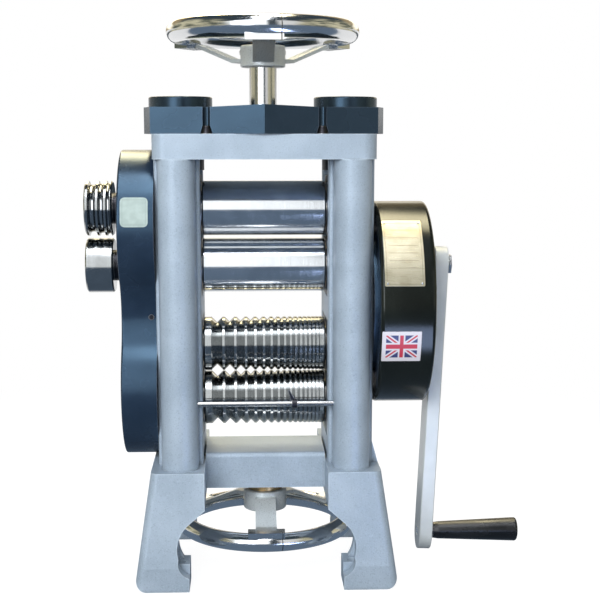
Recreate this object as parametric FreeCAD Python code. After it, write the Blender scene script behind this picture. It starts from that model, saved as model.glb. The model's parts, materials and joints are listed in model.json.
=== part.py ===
"""Combination rolling mill for a jeweller's bench, with a geared crank.

Millimetres. X runs along the rolls, to the right; Y runs away from the person who
feeds the mill; Z is up. The origin is the centre of the four bench bolts, on the
plane of the feet's undersides.
"""
import FreeCAD, Part
import math
import os

V = FreeCAD.Vector

# Fits
RUNNING_CLEARANCE = 0.08
SLIDING_CLEARANCE = 0.15
FACE_GAP = 0.4
END_PLAY = 0.5
BLIND_WALL = 2.0
BUSH_INSET = 1.0

# Spur gears: flank angle, and tooth heights and backlash in modules
PRESSURE_ANGLE = 20.0
ADDENDUM_SHARE = 0.8
DEDENDUM_SHARE = 1.1
BACKLASH_SHARE = 0.08

# Edges are picked by their place and direction within these
PLACE_TOLERANCE = 0.01
DIRECTION_TOLERANCE = 1e-4

# Rolls: two plain ones above, two grooved ones for wire below
ROLL_RADIUS = 30.0
ROLL_LENGTH = 135.0
ROLL_EDGE = 1.5
NECK_RADIUS = 20.0
LOWER_FLAT_Z = 340.0
FLAT_GAP = 2.8
UPPER_FLAT_Z = LOWER_FLAT_Z + 2 * ROLL_RADIUS + FLAT_GAP
UPPER_WIRE_Z = 251.4
WIRE_GAP = 1.4
LOWER_WIRE_Z = UPPER_WIRE_Z - 2 * ROLL_RADIUS - WIRE_GAP
WIDEST_OPENING = 6.0
UPPER_RISE = WIDEST_OPENING - FLAT_GAP
LOWER_DROP = WIDEST_OPENING - WIRE_GAP

# Square wire grooves, which get finer from left to right
GROOVE_COUNT = 16
GROOVE_WIDTH = 12.3
GROOVE_STEP_RATIO = 0.87
GROOVE_LAND = 2.4
GROOVE_MARGIN = 8.5

# Side frames: cast cheeks with a half-round rib in front and behind
ROLL_SIDE_GAP = 0.8
CHEEK_WIDTH = 48.2
CHEEK_INNER_X = ROLL_LENGTH / 2 + ROLL_SIDE_GAP
CHEEK_OUTER_X = CHEEK_INNER_X + CHEEK_WIDTH
CHEEK_HALF_DEPTH = 64.0
CHEEK_EDGE = 3.0
RIB_RADIUS = 19.5
RIB_FRONT_Y = 100.0
CHEEK_X = (CHEEK_INNER_X + CHEEK_OUTER_X) / 2
WINDOW_HALF_DEPTH = 42.0
WINDOW_FLOOR = 24.0
CHOCK_HALF_HEIGHT = 28.0
CHOCK_END_GAP = 0.5
BUSH_WALL = 5.0
LOWER_FLAT_SEAT = 32.0
UPPER_WIRE_SEAT = 31.6
SKIRT_HEIGHT = 24.0
SKIRT_HALF_DEPTH = 60.0

# Base: two arched legs and a hollow crosspiece
LEG_TOP_Z = 128.0
LEG_LEDGE = 2.3
LEG_SHOULDER = 6.7
LEG_SPLAY = 24.0
LEG_INNER_X = CHEEK_INNER_X - LEG_LEDGE
LEG_TOP_X = CHEEK_OUTER_X + LEG_SHOULDER
LEG_FOOT_X = CHEEK_OUTER_X + LEG_SPLAY
LEG_TOP_Y = 105.0
LEG_FOOT_Y = 115.0
LEG_CORNER = 12.0
LEG_KNEE_Z = 88.0
LEG_SHIN_INSET = 15.7
LEG_SHIN_X = CHEEK_INNER_X + LEG_SHIN_INSET
LEG_SHIN_Z = 72.5
LEG_WAIST_INSET = 27.5
LEG_WAIST_X = CHEEK_INNER_X + LEG_WAIST_INSET
LEG_WAIST_Z = 46.0
LEG_ANKLE_INSET = 21.7
LEG_ANKLE_X = CHEEK_INNER_X + LEG_ANKLE_INSET
TOE_INSET = 14.7
TOE_INNER_X = CHEEK_INNER_X + TOE_INSET
TOE_HEIGHT = 26.0
TOE_INNER_Y = 68.0
ARCH_TOP_Z = 82.0
ARCH_CORNER = 26.0
BENCH_BOLT_INSET = 24.7
BENCH_BOLT_X = CHEEK_INNER_X + BENCH_BOLT_INSET
BENCH_BOLT_Y = 90.0
BENCH_BOLT_HOLE = 5.5
BOLT_SEAT_RADIUS = 10.5
TOE_SCOOP_INSET = 9.7
TOE_SCOOP_X = CHEEK_INNER_X + TOE_SCOOP_INSET
TOE_SCOOP_Z = 31.0
TOE_SCOOP_RADIUS = 17.0
TOE_SCOOP_DEPTH = 16.0
LEG_EDGE = 9.0
CROSSPIECE_HALF_DEPTH = 43.0
CROSSPIECE_BOTTOM_Z = 95.0
CROSSPIECE_TOP_Z = 134.7
CROSSPIECE_EDGE = 5.0

# Crosshead and the gear housing on it
CROSSHEAD_BOTTOM_Z = 457.4
CROSSHEAD_THICKNESS = 25.9
CROSSHEAD_TOP_Z = CROSSHEAD_BOTTOM_Z + CROSSHEAD_THICKNESS
CROSSHEAD_HALF_DEPTH = 96.0
CROSSHEAD_CORNER = 14.0
SCREW_INSET = 21.7
SCREW_X = CHEEK_INNER_X + SCREW_INSET
CAP_RADIUS = 34.6
CAP_HEIGHT = 12.5
CAP_EDGE = 2.0
HOUSING_HALF_WIDTH = SCREW_X + CAP_RADIUS + 1.2
HOUSING_CORNER_X = HOUSING_HALF_WIDTH - 8.0
HOUSING_SIDE_Y = 56.0
HOUSING_END_Y = 82.0
HOUSING_MIDDLE_Y = 101.0
HOUSING_HEIGHT = 27.2
HOUSING_RIDGE = 2.5
HOUSING_WALL = 4.0
NOTCH_INSET = 30.5
NOTCH_X = SCREW_X - NOTCH_INSET
NOTCH_RADIUS = 4.0
NOTCH_DEPTH = 5.0

# Upper screws and their gears, turned by the top handwheel
UPPER_SCREW_RADIUS = 14.0
SCREW_HEAD_RADIUS = 19.0
SCREW_HEAD_HEIGHT = 4.0
RETAINER_RADIUS = 22.0
RETAINER_HEIGHT = 8.0
NUT_FLANGE_RADIUS = 25.0
NUT_FLANGE_HEIGHT = 13.0
NUT_BODY_RADIUS = 20.0
TOP_WHEEL_TEETH = 31
TOP_SCREW_TEETH = 14
TOP_MODULE = 2 * SCREW_X / (TOP_WHEEL_TEETH + TOP_SCREW_TEETH)
TOP_SCREW_GEAR_HEIGHT = 12.0
TOP_WHEEL_GEAR_HEIGHT = 14.0
TOP_GEAR_LIFT = 4.7
TOP_WHEEL_GEAR_LIFT = TOP_GEAR_LIFT - 1.0
TOP_SHAFT_FOOT = 14.0
SCREW_TOP_STUB = 2.0

# Lower screws: five equal gears in a row inside the crosspiece
LOWER_TEETH = 15
LOWER_MODULE = SCREW_X / (2 * LOWER_TEETH)
LOWER_SCREW_RADIUS = 12.0
LOWER_SCREW_GEAR_HEIGHT = 12.0
LOWER_SCREW_GEAR_Z = 109.0
LOWER_GEAR_HEIGHT = 18.0
LOWER_GEAR_Z = 104.0
GEAR_CHAMBER_PLAY = 1.5
GEAR_CHAMBER_HALF_DEPTH = LOWER_MODULE * (LOWER_TEETH / 2 + 1) + GEAR_CHAMBER_PLAY
GEAR_CHAMBER_BOTTOM_Z = 100.0
GEAR_CHAMBER_END_X = SCREW_X + GEAR_CHAMBER_HALF_DEPTH
CROSSPIECE_ROOF = 5.7
IDLER_JOURNAL_RADIUS = 7.0

# Handwheels: a tube rim on three pressed spokes, the top one stouter
TOP_RIM_RADIUS = 92.7
TOP_TUBE_RADIUS = 11.7
BOTTOM_RIM_RADIUS = 91.4
BOTTOM_TUBE_RADIUS = 10.0
WHEEL_HUB_RADIUS = 24.5
WHEEL_HUB_NEAR = 14.0
WHEEL_HUB_FAR = 37.0
SPOKE_COUNT = 3
SPOKE_WIDTH = 23.0
SPOKE_THICKNESS = 4.0
SPOKE_DROP = 30.0
SPOKE_PAD_WIDTH = 40.0
SPOKE_PAD_LENGTH = 16.0
SPOKE_FOOT = 8.0
WHEEL_HUB_EDGE = 2.0
TOP_RIM_RISE = 108.2
BOTTOM_RIM_DROP = 48.5
TOP_RIM_Z = CROSSHEAD_TOP_Z + TOP_RIM_RISE
BOTTOM_RIM_Z = CROSSPIECE_BOTTOM_Z - BOTTOM_RIM_DROP
TOP_WHEEL_SHAFT_RADIUS = 15.0
BOTTOM_WHEEL_SHAFT_RADIUS = 12.0
WHEEL_BUSH_WALL = 4.0
LOWER_COLLAR_RADIUS = 20.0

# Roll gears and link gears under the left cover
ROLL_GEAR_TEETH = 12
ROLL_GEAR_PITCH_RADIUS = 31.0
ROLL_GEAR_ADDENDUM = 5.4
ROLL_GEAR_DEDENDUM = 7.5
ROLL_GEAR_THINNING = 1.1
CASE_GAP = 3.5
ROLL_GEAR_NEAR_X = CHEEK_OUTER_X + CASE_GAP
ROLL_GEAR_WIDTH = 13.0
LINK_TEETH = 22
LINK_GEAR_GAP = 2.0
LINK_GEAR_NEAR_X = ROLL_GEAR_NEAR_X + ROLL_GEAR_WIDTH + LINK_GEAR_GAP
LINK_GEAR_WIDTH = 14.0
GEAR_SHAFT_RADIUS = 16.0
OUTER_SHAFT_RADIUS = 11.0
COVER_GEAR_GAP = 6.0
COVER_OUTER_X = LINK_GEAR_NEAR_X + LINK_GEAR_WIDTH + COVER_GEAR_GAP
COVER_WALL = 3.0
BACK_PLATE = 2.5
UPPER_LOBE_Z = 382.4
UPPER_LOBE_RADIUS = 84.0
LOWER_LOBE_Z = 205.5
LOWER_LOBE_RADIUS = 77.0
WAIST_RADIUS = 60.0
COVER_EDGE = 2.0
COVER_HOLE_PLAY = 1.5
COVER_FIT = 0.1

# Short rolls outside the cover
EXTENSION_STANDOUT = 10.0
EXTENSION_LENGTH = 30.0
EXTENSION_NEAR_X = COVER_OUTER_X + EXTENSION_STANDOUT
EXTENSION_FAR_X = EXTENSION_NEAR_X + EXTENSION_LENGTH
EXTENSION_SHAFT_END_X = EXTENSION_FAR_X - 1.0
SPACER_RADIUS = 17.0
HALF_ROUND_GROOVES = (9.0, 6.5, 4.5)
HALF_ROUND_LAND = 2.2
HALF_ROUND_FACETS = 8

# Geared drive in the round box on the right
DRIVE_CENTRES = 86.0
DRIVE_PINION_TEETH = 14
DRIVE_GEAR_TEETH = 30
LAYSHAFT_Z = LOWER_FLAT_Z - DRIVE_CENTRES
DRIVE_GEAR_INSET = 10.5
DRIVE_GEAR_X = CHEEK_OUTER_X + DRIVE_GEAR_INSET
DRIVE_GEAR_WIDTH = 20.0
CRANK_GEAR_GAP = 4.0
CRANK_GEAR_X = DRIVE_GEAR_X + DRIVE_GEAR_WIDTH + CRANK_GEAR_GAP
CRANK_GEAR_WIDTH = 16.0
LAYSHAFT_RADIUS = 11.0
DRIVE_SHAFT_RADIUS = 14.0
CRANK_SHAFT_RADIUS = 12.0
CRANK_SHAFT_NEAR_X = CRANK_GEAR_X - 1.0
DRIVE_SHAFT_END_X = CRANK_SHAFT_NEAR_X - 1.0
PILOT_RADIUS = 6.0
PILOT_LENGTH = 10.0
PILOT_BORE_DEPTH = 12.0
DRUM_Z = 298.0
DRUM_RADIUS = 112.0
DRUM_WIDTH = 58.5
DRUM_NEAR_X = CHEEK_OUTER_X + CASE_GAP
DRUM_FAR_X = DRUM_NEAR_X + DRUM_WIDTH
DRUM_WALL = 4.0
DRUM_FACE = 5.0
DRUM_EDGE = 4.0
DRUM_FLANGE_RADIUS = 80.0
DRUM_BACK_WALL = 5.0
DRUM_BUSH_WALL = 4.0
CRANK_BUSH_STANDOUT = 4.0
DRUM_BOSS = 5.5
DRIVE_HOLE_PLAY = 1.0

# Crank
CRANK_RADIUS = 310.5
CRANK_ARM_STANDOUT = 11.0
CRANK_ARM_X = DRUM_FAR_X + CRANK_ARM_STANDOUT
CRANK_ARM_THICKNESS = 15.0
CRANK_ARM_LEAN = 13.0
CRANK_ARM_EDGE = 1.5
CRANK_HUB_RADIUS = 20.0
CRANK_TIP_RADIUS = 21.0
CRANK_NUT_RADIUS = 11.5
CRANK_NUT_LENGTH = 5.0
GRIP_STANDOUT = 5.0
GRIP_LENGTH = 98.0
GRIP_NEAR_X = CRANK_ARM_X + GRIP_STANDOUT
GRIP_FAR_X = GRIP_NEAR_X + GRIP_LENGTH
GRIP_NEAR_RADIUS = 10.0
GRIP_NECK = 6.0
GRIP_NECK_STEP = 1.0
GRIP_FAR_RADIUS = 13.75
GRIP_PIN_RADIUS = 5.0
GRIP_PIN_HEAD_RADIUS = 7.5
GRIP_PIN_HEAD_LENGTH = 5.0
GRIP_RECESS = 9.0
GRIP_END_RADIUS = 3.0

# Guide rod with its sliding finger, in front of the wire rolls
GUIDE_Y = -78.0
GUIDE_Z = 197.6
GUIDE_RADIUS = 3.0
GUIDE_SEAT = 6.0
FINGER_X = 31.0
FINGER_HALF_WIDTH = 3.0
FINGER_BODY_RADIUS = 5.0
FINGER_HEIGHT = 15.0
FINGER_TIP_LEAN = 4.0
FINGER_TIP_WIDTH = 1.5
FINGER_BLADE = 3.5

# Bearing caps on the right cheek
UPPER_CAP_RADIUS = 20.5
LOWER_CAP_RADIUS = 12.0
BEARING_CAP = 3.0
BEARING_CAP_EDGE = 1.0

# Screws of the three cases
SCREW_SHANK_RADIUS = 3.0
SCREW_CAP_RADIUS = 5.0
SCREW_CAP_HEIGHT = 4.0
SCREW_LENGTH = 15.0
CONE_HEAD_RADIUS = 6.2
CONE_HEAD_HEIGHT = 8.0
DRUM_BOLT_BOSS = 6.5
DRUM_BOLT_BITE = 0.5
DRUM_BOLT_ANGLE = 32.0
COVER_SCREW_INSET = 6.0
COVER_SCREW_RADIUS = 1.5
COVER_SCREW_SEAT = 0.1
COVER_SCREW_END = 1.0
COVER_LUG_DEPTH = 9.0
COVER_LUG_WIDTH = 8.0
COVER_LUG_GAP = 0.5


# Basic shapes

def box(x0, x1, y0, y1, z0, z1):
    return Part.makeBox(x1 - x0, y1 - y0, z1 - z0, V(x0, y0, z0))


def cylinder_x(radius, x0, x1, z, y=0.0):
    low = min(x0, x1)
    return Part.makeCylinder(radius, abs(x1 - x0), V(low, y, z), V(1, 0, 0))


def cylinder_y(radius, y0, y1, x, z):
    low = min(y0, y1)
    return Part.makeCylinder(radius, abs(y1 - y0), V(x, low, z), V(0, 1, 0))


def cylinder_z(radius, z0, z1, x=0.0, y=0.0):
    return Part.makeCylinder(radius, z1 - z0, V(x, y, z0), V(0, 0, 1))


def ring_x(outer, inner, x0, x1, z):
    return cylinder_x(outer, x0, x1, z).cut(cylinder_x(inner, x0, x1, z))


def ring_z(outer, inner, z0, z1, x=0.0):
    return cylinder_z(outer, z0, z1, x).cut(cylinder_z(inner, z0, z1, x))


def prism(points, direction):
    return Part.Face(Part.makePolygon(points + points[:1])).extrude(direction)


def mirror_x(shape):
    return shape.mirror(V(0, 0, 0), V(1, 0, 0))


def both_sides(shape):
    """A piece of the right side and the same piece on the left, as two solids."""
    return [shape, mirror_x(shape)]


def turned_x(profile, z):
    """Solid of revolution about an axis along X; the profile is a list of (x, radius)."""
    points = [V(x, 0, z + radius) for x, radius in profile]
    points = [V(profile[0][0], 0, z)] + points + [V(profile[-1][0], 0, z)]
    face = Part.Face(Part.makePolygon(points + points[:1]))
    return face.revolve(V(0, 0, z), V(1, 0, 0), 360)


def rounded(shape, radius, wanted):
    """Fillet on the edges for which wanted(edge) holds."""
    edges = [edge for edge in shape.Edges if wanted(edge)]
    return shape.makeFillet(radius, edges)


def is_along(edge, direction):
    if not isinstance(edge.Curve, Part.Line):
        return False
    return abs(abs(edge.Curve.Direction.dot(direction)) - 1) < DIRECTION_TOLERANCE


# Gears

def gear_outline(teeth, pitch_radius, addendum, dedendum, thinning, phase):
    """Corners of a spur gear with straight flanks; a tooth points at the phase angle."""
    pressure = math.radians(PRESSURE_ANGLE)
    base = pitch_radius * math.cos(pressure)

    def half_tooth(radius):
        middle = math.pi / (2 * teeth) - thinning / (2 * pitch_radius)
        roll = math.acos(min(1.0, base / radius))
        return middle + math.tan(pressure) - pressure - math.tan(roll) + roll

    radii = [pitch_radius - dedendum, pitch_radius, pitch_radius + addendum]
    corners = []
    for tooth in range(teeth):
        centre = math.radians(phase) + 2 * math.pi * tooth / teeth
        for side, ordered in ((-1, radii), (1, reversed(radii))):
            for radius in ordered:
                angle = centre + side * half_tooth(radius)
                corners.append((radius * math.cos(angle), radius * math.sin(angle)))
    return corners


def gear_x(corners, x0, x1, z):
    low = min(x0, x1)
    points = [V(low, y, z + up) for y, up in corners]
    return prism(points, V(abs(x1 - x0), 0, 0))


def gear_z(corners, z0, z1, x):
    points = [V(x + across, y, z0) for across, y in corners]
    return prism(points, V(0, 0, z1 - z0))


def standard_gear(teeth, module, phase):
    return gear_outline(teeth, teeth * module / 2, ADDENDUM_SHARE * module,
                        DEDENDUM_SHARE * module, BACKLASH_SHARE * module, phase)


def gap_at(angle, teeth):
    """Phase that turns a gap, not a tooth, towards the angle."""
    return angle + 180 / teeth


# Rolls

def groove_profile():
    """Barrel outline of a wire roll, with V-grooves that halve a square each."""
    half = ROLL_LENGTH / 2
    profile = [(-half, ROLL_RADIUS - ROLL_EDGE), (-half + ROLL_EDGE, ROLL_RADIUS)]
    edge = -half + GROOVE_MARGIN
    width = GROOVE_WIDTH
    for groove in range(GROOVE_COUNT):
        profile.append((edge, ROLL_RADIUS))
        profile.append((edge + width / 2, ROLL_RADIUS - width / 2))
        profile.append((edge + width, ROLL_RADIUS))
        edge += width + GROOVE_LAND
        width *= GROOVE_STEP_RATIO
    profile += [(half - ROLL_EDGE, ROLL_RADIUS), (half, ROLL_RADIUS - ROLL_EDGE)]
    return profile


def plain_profile():
    half = ROLL_LENGTH / 2
    return [(-half, ROLL_RADIUS - ROLL_EDGE), (-half + ROLL_EDGE, ROLL_RADIUS),
            (half - ROLL_EDGE, ROLL_RADIUS), (half, ROLL_RADIUS - ROLL_EDGE)]


def roll_gear_far_x():
    return ROLL_GEAR_NEAR_X + ROLL_GEAR_WIDTH


def left_shaft(outer_end):
    """Steps of a roll's left end, from its tip inwards."""
    steps = []
    if outer_end > roll_gear_far_x():
        steps += [(-outer_end, OUTER_SHAFT_RADIUS), (-roll_gear_far_x(), OUTER_SHAFT_RADIUS)]
    steps += [(-roll_gear_far_x(), GEAR_SHAFT_RADIUS), (-CHEEK_OUTER_X, GEAR_SHAFT_RADIUS)]
    steps += [(-CHEEK_OUTER_X, NECK_RADIUS), (-ROLL_LENGTH / 2, NECK_RADIUS)]
    return steps


def right_neck_end():
    return CHEEK_OUTER_X - CHOCK_END_GAP - BEARING_CAP - FACE_GAP


def right_neck():
    return [(ROLL_LENGTH / 2, NECK_RADIUS), (right_neck_end(), NECK_RADIUS)]


def flat_roll(z, with_drive):
    profile = left_shaft(EXTENSION_SHAFT_END_X) + plain_profile() + right_neck()
    if not with_drive:
        return turned_x(profile, z)
    profile += [(right_neck_end(), DRIVE_SHAFT_RADIUS), (DRIVE_SHAFT_END_X, DRIVE_SHAFT_RADIUS)]
    pilot_bore = cylinder_x(PILOT_RADIUS + RUNNING_CLEARANCE,
                            DRIVE_SHAFT_END_X - PILOT_BORE_DEPTH, DRIVE_SHAFT_END_X, z)
    return turned_x(profile, z).cut(pilot_bore)


def wire_roll(z, outer_end):
    return turned_x(left_shaft(outer_end) + groove_profile() + right_neck(), z)


def roll_gear(z, phase):
    corners = gear_outline(ROLL_GEAR_TEETH, ROLL_GEAR_PITCH_RADIUS, ROLL_GEAR_ADDENDUM,
                           ROLL_GEAR_DEDENDUM, ROLL_GEAR_THINNING, phase)
    gear = gear_x(corners, -roll_gear_far_x(), -ROLL_GEAR_NEAR_X, z)
    return gear.cut(cylinder_x(GEAR_SHAFT_RADIUS, -roll_gear_far_x(), -ROLL_GEAR_NEAR_X, z))


def link_gear_far_x():
    return LINK_GEAR_NEAR_X + LINK_GEAR_WIDTH


def link_gear(z, phase):
    module = (LOWER_FLAT_Z - UPPER_WIRE_Z) / LINK_TEETH
    corners = standard_gear(LINK_TEETH, module, phase)
    gear = gear_x(corners, -link_gear_far_x(), -LINK_GEAR_NEAR_X, z)
    return gear.cut(cylinder_x(OUTER_SHAFT_RADIUS, -link_gear_far_x(), -LINK_GEAR_NEAR_X, z))


def extension_spacer(z):
    return ring_x(SPACER_RADIUS, OUTER_SHAFT_RADIUS, -EXTENSION_NEAR_X, -COVER_OUTER_X - FACE_GAP, z)


def half_round_profile():
    """Grooves of the upper extension roll, from its outer face inwards."""
    profile = []
    edge = -EXTENSION_FAR_X + HALF_ROUND_LAND + ROLL_EDGE
    for width in HALF_ROUND_GROOVES:
        half = width / 2
        for facet in range(HALF_ROUND_FACETS + 1):
            angle = math.pi * facet / HALF_ROUND_FACETS
            profile.append((edge + half - half * math.cos(angle),
                            ROLL_RADIUS - half * math.sin(angle)))
        edge += width + HALF_ROUND_LAND
    return profile


def extension_roll(z, grooves):
    near, far = -EXTENSION_NEAR_X, -EXTENSION_FAR_X
    outer_end = [(far, ROLL_RADIUS - ROLL_EDGE), (far + ROLL_EDGE, ROLL_RADIUS)]
    inner_end = [(near - ROLL_EDGE, ROLL_RADIUS), (near, ROLL_RADIUS - ROLL_EDGE)]
    roll = turned_x(outer_end + grooves + inner_end, z)
    return roll.cut(cylinder_x(OUTER_SHAFT_RADIUS, far, near, z))


# Bearings

def chock(z, below, above):
    """Right-hand bearing block, bored for its bush."""
    x0, x1 = CHEEK_INNER_X + CHOCK_END_GAP, CHEEK_OUTER_X - CHOCK_END_GAP
    half = WINDOW_HALF_DEPTH - SLIDING_CLEARANCE
    block = box(x0, x1, -half, half, z - below, z + above)
    return block.cut(cylinder_x(NECK_RADIUS + BUSH_WALL, x0, x1, z))


def neck_bush(z):
    x0, x1 = CHEEK_INNER_X + CHOCK_END_GAP, CHEEK_OUTER_X - CHOCK_END_GAP - BEARING_CAP
    return ring_x(NECK_RADIUS + BUSH_WALL, NECK_RADIUS + RUNNING_CLEARANCE, x0, x1, z)


def bearing_cap(z, radius):
    """Plug in the outer end of a right-hand bearing, with a round boss outside."""
    face = CHEEK_OUTER_X - CHOCK_END_GAP
    plug = cylinder_x(NECK_RADIUS + BUSH_WALL, face - BEARING_CAP, face, z)
    boss = cylinder_x(radius, face, face + BEARING_CAP, z)
    boss = rounded(boss, BEARING_CAP_EDGE, lambda edge:
                   abs(edge.CenterOfMass.x - face - BEARING_CAP) < PLACE_TOLERANCE)
    return plug.fuse(boss)


# Frame castings

def leg_front_outline():
    """Front view of the right leg: straight outer side, waisted inner side."""
    bulge = LEG_CORNER * (1 - math.sqrt(0.5))
    points = {
        "top_inner": V(LEG_INNER_X, 0, LEG_TOP_Z),
        "knee": V(LEG_INNER_X, 0, LEG_KNEE_Z),
        "shin": V(LEG_SHIN_X, 0, LEG_SHIN_Z),
        "waist": V(LEG_WAIST_X, 0, LEG_WAIST_Z),
        "ankle": V(LEG_ANKLE_X, 0, TOE_HEIGHT),
        "toe_top": V(TOE_INNER_X, 0, TOE_HEIGHT),
        "toe_bottom": V(TOE_INNER_X, 0, 0),
        "corner_in": V(LEG_FOOT_X - LEG_CORNER, 0, 0),
        "corner_mid": V(LEG_FOOT_X - bulge, 0, bulge),
        "corner_out": V(LEG_FOOT_X, 0, LEG_CORNER),
        "top_outer": V(LEG_TOP_X, 0, LEG_TOP_Z),
    }
    p = points
    edges = [
        Part.makeLine(p["top_inner"], p["knee"]),
        Part.makeLine(p["knee"], p["shin"]),
        Part.Arc(p["shin"], p["waist"], p["ankle"]).toShape(),
        Part.makeLine(p["ankle"], p["toe_top"]),
        Part.makeLine(p["toe_top"], p["toe_bottom"]),
        Part.makeLine(p["toe_bottom"], p["corner_in"]),
        Part.Arc(p["corner_in"], p["corner_mid"], p["corner_out"]).toShape(),
        Part.makeLine(p["corner_out"], p["top_outer"]),
        Part.makeLine(p["top_outer"], p["top_inner"]),
    ]
    return Part.Wire(edges)


def leg_arch():
    """The opening between a leg's front and rear toe, right through along X."""
    height = ARCH_TOP_Z + ARCH_CORNER
    block = box(0, 2 * LEG_FOOT_X, -TOE_INNER_Y, TOE_INNER_Y, -height, ARCH_TOP_Z)
    return rounded(block, ARCH_CORNER, lambda edge: is_along(edge, V(1, 0, 0))
                   and edge.CenterOfMass.z > 0)


def gear_chamber():
    """Space for the five lower gears, through the crosspiece and into both legs."""
    chamber = box(-GEAR_CHAMBER_END_X, GEAR_CHAMBER_END_X, -GEAR_CHAMBER_HALF_DEPTH,
                  GEAR_CHAMBER_HALF_DEPTH, GEAR_CHAMBER_BOTTOM_Z, LEG_TOP_Z)
    return rounded(chamber, GEAR_CHAMBER_HALF_DEPTH - 1, lambda edge: is_along(edge, V(0, 0, 1)))


def base_leg():
    slab = Part.Face(leg_front_outline()).extrude(V(0, 2 * LEG_FOOT_Y, 0))
    slab.translate(V(0, -LEG_FOOT_Y, 0))
    side_view = [V(0, -LEG_FOOT_Y, 0), V(0, -LEG_FOOT_Y, TOE_HEIGHT), V(0, -LEG_TOP_Y, LEG_TOP_Z),
                 V(0, LEG_TOP_Y, LEG_TOP_Z), V(0, LEG_FOOT_Y, TOE_HEIGHT), V(0, LEG_FOOT_Y, 0)]
    leg = slab.common(prism(side_view, V(2 * LEG_FOOT_X, 0, 0)))

    def is_outer_corner(edge):
        middle = edge.CenterOfMass
        return (edge.Length > LEG_TOP_Z / 2 and middle.x > LEG_TOP_X
                and abs(middle.y) > (LEG_TOP_Y + LEG_FOOT_Y) / 2 - 1)

    leg = rounded(leg, LEG_EDGE, is_outer_corner)
    leg = leg.cut(leg_arch()).cut(gear_chamber())
    for side in (-1, 1):
        y = side * BENCH_BOLT_Y
        leg = leg.cut(cylinder_z(BENCH_BOLT_HOLE, 0, TOE_HEIGHT, BENCH_BOLT_X, y))
        leg = leg.cut(cylinder_z(BOLT_SEAT_RADIUS, TOE_HEIGHT, LEG_WAIST_Z, BENCH_BOLT_X, y))
        leg = leg.cut(cylinder_y(TOE_SCOOP_RADIUS, side * (LEG_FOOT_Y - TOE_SCOOP_DEPTH),
                                 side * LEG_FOOT_Y, TOE_SCOOP_X, TOE_SCOOP_Z))
    return leg


def crosspiece():
    body = box(-LEG_INNER_X, LEG_INNER_X, -CROSSPIECE_HALF_DEPTH, CROSSPIECE_HALF_DEPTH,
               CROSSPIECE_BOTTOM_Z, CROSSPIECE_TOP_Z)
    body = rounded(body, CROSSPIECE_EDGE, lambda edge: is_along(edge, V(1, 0, 0))
                   and edge.CenterOfMass.z > LEG_TOP_Z)
    ceiling = CROSSPIECE_TOP_Z - CROSSPIECE_ROOF
    body = body.cut(box(-LEG_INNER_X, LEG_INNER_X, -GEAR_CHAMBER_HALF_DEPTH,
                        GEAR_CHAMBER_HALF_DEPTH, CROSSPIECE_BOTTOM_Z, ceiling))
    bore_top = CROSSPIECE_TOP_Z - BLIND_WALL
    body = body.cut(cylinder_z(BOTTOM_WHEEL_SHAFT_RADIUS + RUNNING_CLEARANCE, ceiling, bore_top))
    for x in (-idler_x(), idler_x()):
        body = body.cut(cylinder_z(IDLER_JOURNAL_RADIUS + RUNNING_CLEARANCE, ceiling, bore_top, x))
    return body


def lower_gear_cover():
    """Bottom plate of the crosspiece; it carries the lower ends of the shafts."""
    half = GEAR_CHAMBER_HALF_DEPTH
    plate = box(-LEG_INNER_X, LEG_INNER_X, -half, half, CROSSPIECE_BOTTOM_Z, GEAR_CHAMBER_BOTTOM_Z)
    bore = BOTTOM_WHEEL_SHAFT_RADIUS + WHEEL_BUSH_WALL
    plate = plate.cut(cylinder_z(bore, CROSSPIECE_BOTTOM_Z, GEAR_CHAMBER_BOTTOM_Z))
    for x in (-idler_x(), idler_x()):
        plate = plate.cut(cylinder_z(IDLER_JOURNAL_RADIUS + RUNNING_CLEARANCE,
                                     CROSSPIECE_BOTTOM_Z + BLIND_WALL / 2,
                                     GEAR_CHAMBER_BOTTOM_Z, x))
    return plate


def side_frame():
    """Right cheek: two bearing windows between the ribs, the upper one open at the top."""
    cheek = box(CHEEK_INNER_X, CHEEK_OUTER_X, -CHEEK_HALF_DEPTH, CHEEK_HALF_DEPTH,
                LEG_TOP_Z, CROSSHEAD_BOTTOM_Z)
    cheek = rounded(cheek, CHEEK_EDGE, lambda edge: is_along(edge, V(0, 0, 1)))
    rib_y = RIB_FRONT_Y - RIB_RADIUS
    for y in (-rib_y, rib_y):
        cheek = cheek.fuse(cylinder_z(RIB_RADIUS, LEG_TOP_Z, CROSSHEAD_BOTTOM_Z, CHEEK_X, y))
        cheek = cheek.fuse(box(CHEEK_X - RIB_RADIUS, CHEEK_X + RIB_RADIUS, min(0, y), max(0, y),
                               LEG_TOP_Z, CROSSHEAD_BOTTOM_Z))
    lower_window = (LEG_TOP_Z + WINDOW_FLOOR, UPPER_WIRE_Z + UPPER_WIRE_SEAT)
    upper_window = (LOWER_FLAT_Z - LOWER_FLAT_SEAT, CROSSHEAD_BOTTOM_Z)
    for low, high in (lower_window, upper_window):
        cheek = cheek.cut(box(CHEEK_INNER_X, CHEEK_OUTER_X, -WINDOW_HALF_DEPTH,
                              WINDOW_HALF_DEPTH, low, high))
    cheek = cheek.cut(cylinder_z(LOWER_SCREW_RADIUS + RUNNING_CLEARANCE, LEG_TOP_Z,
                                 LEG_TOP_Z + WINDOW_FLOOR, SCREW_X))
    rod_end = CHEEK_X - RIB_RADIUS + GUIDE_SEAT
    cheek = cheek.cut(cylinder_x(GUIDE_RADIUS, 0, rod_end, GUIDE_Z, GUIDE_Y))
    return cheek.removeSplitter()


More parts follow.
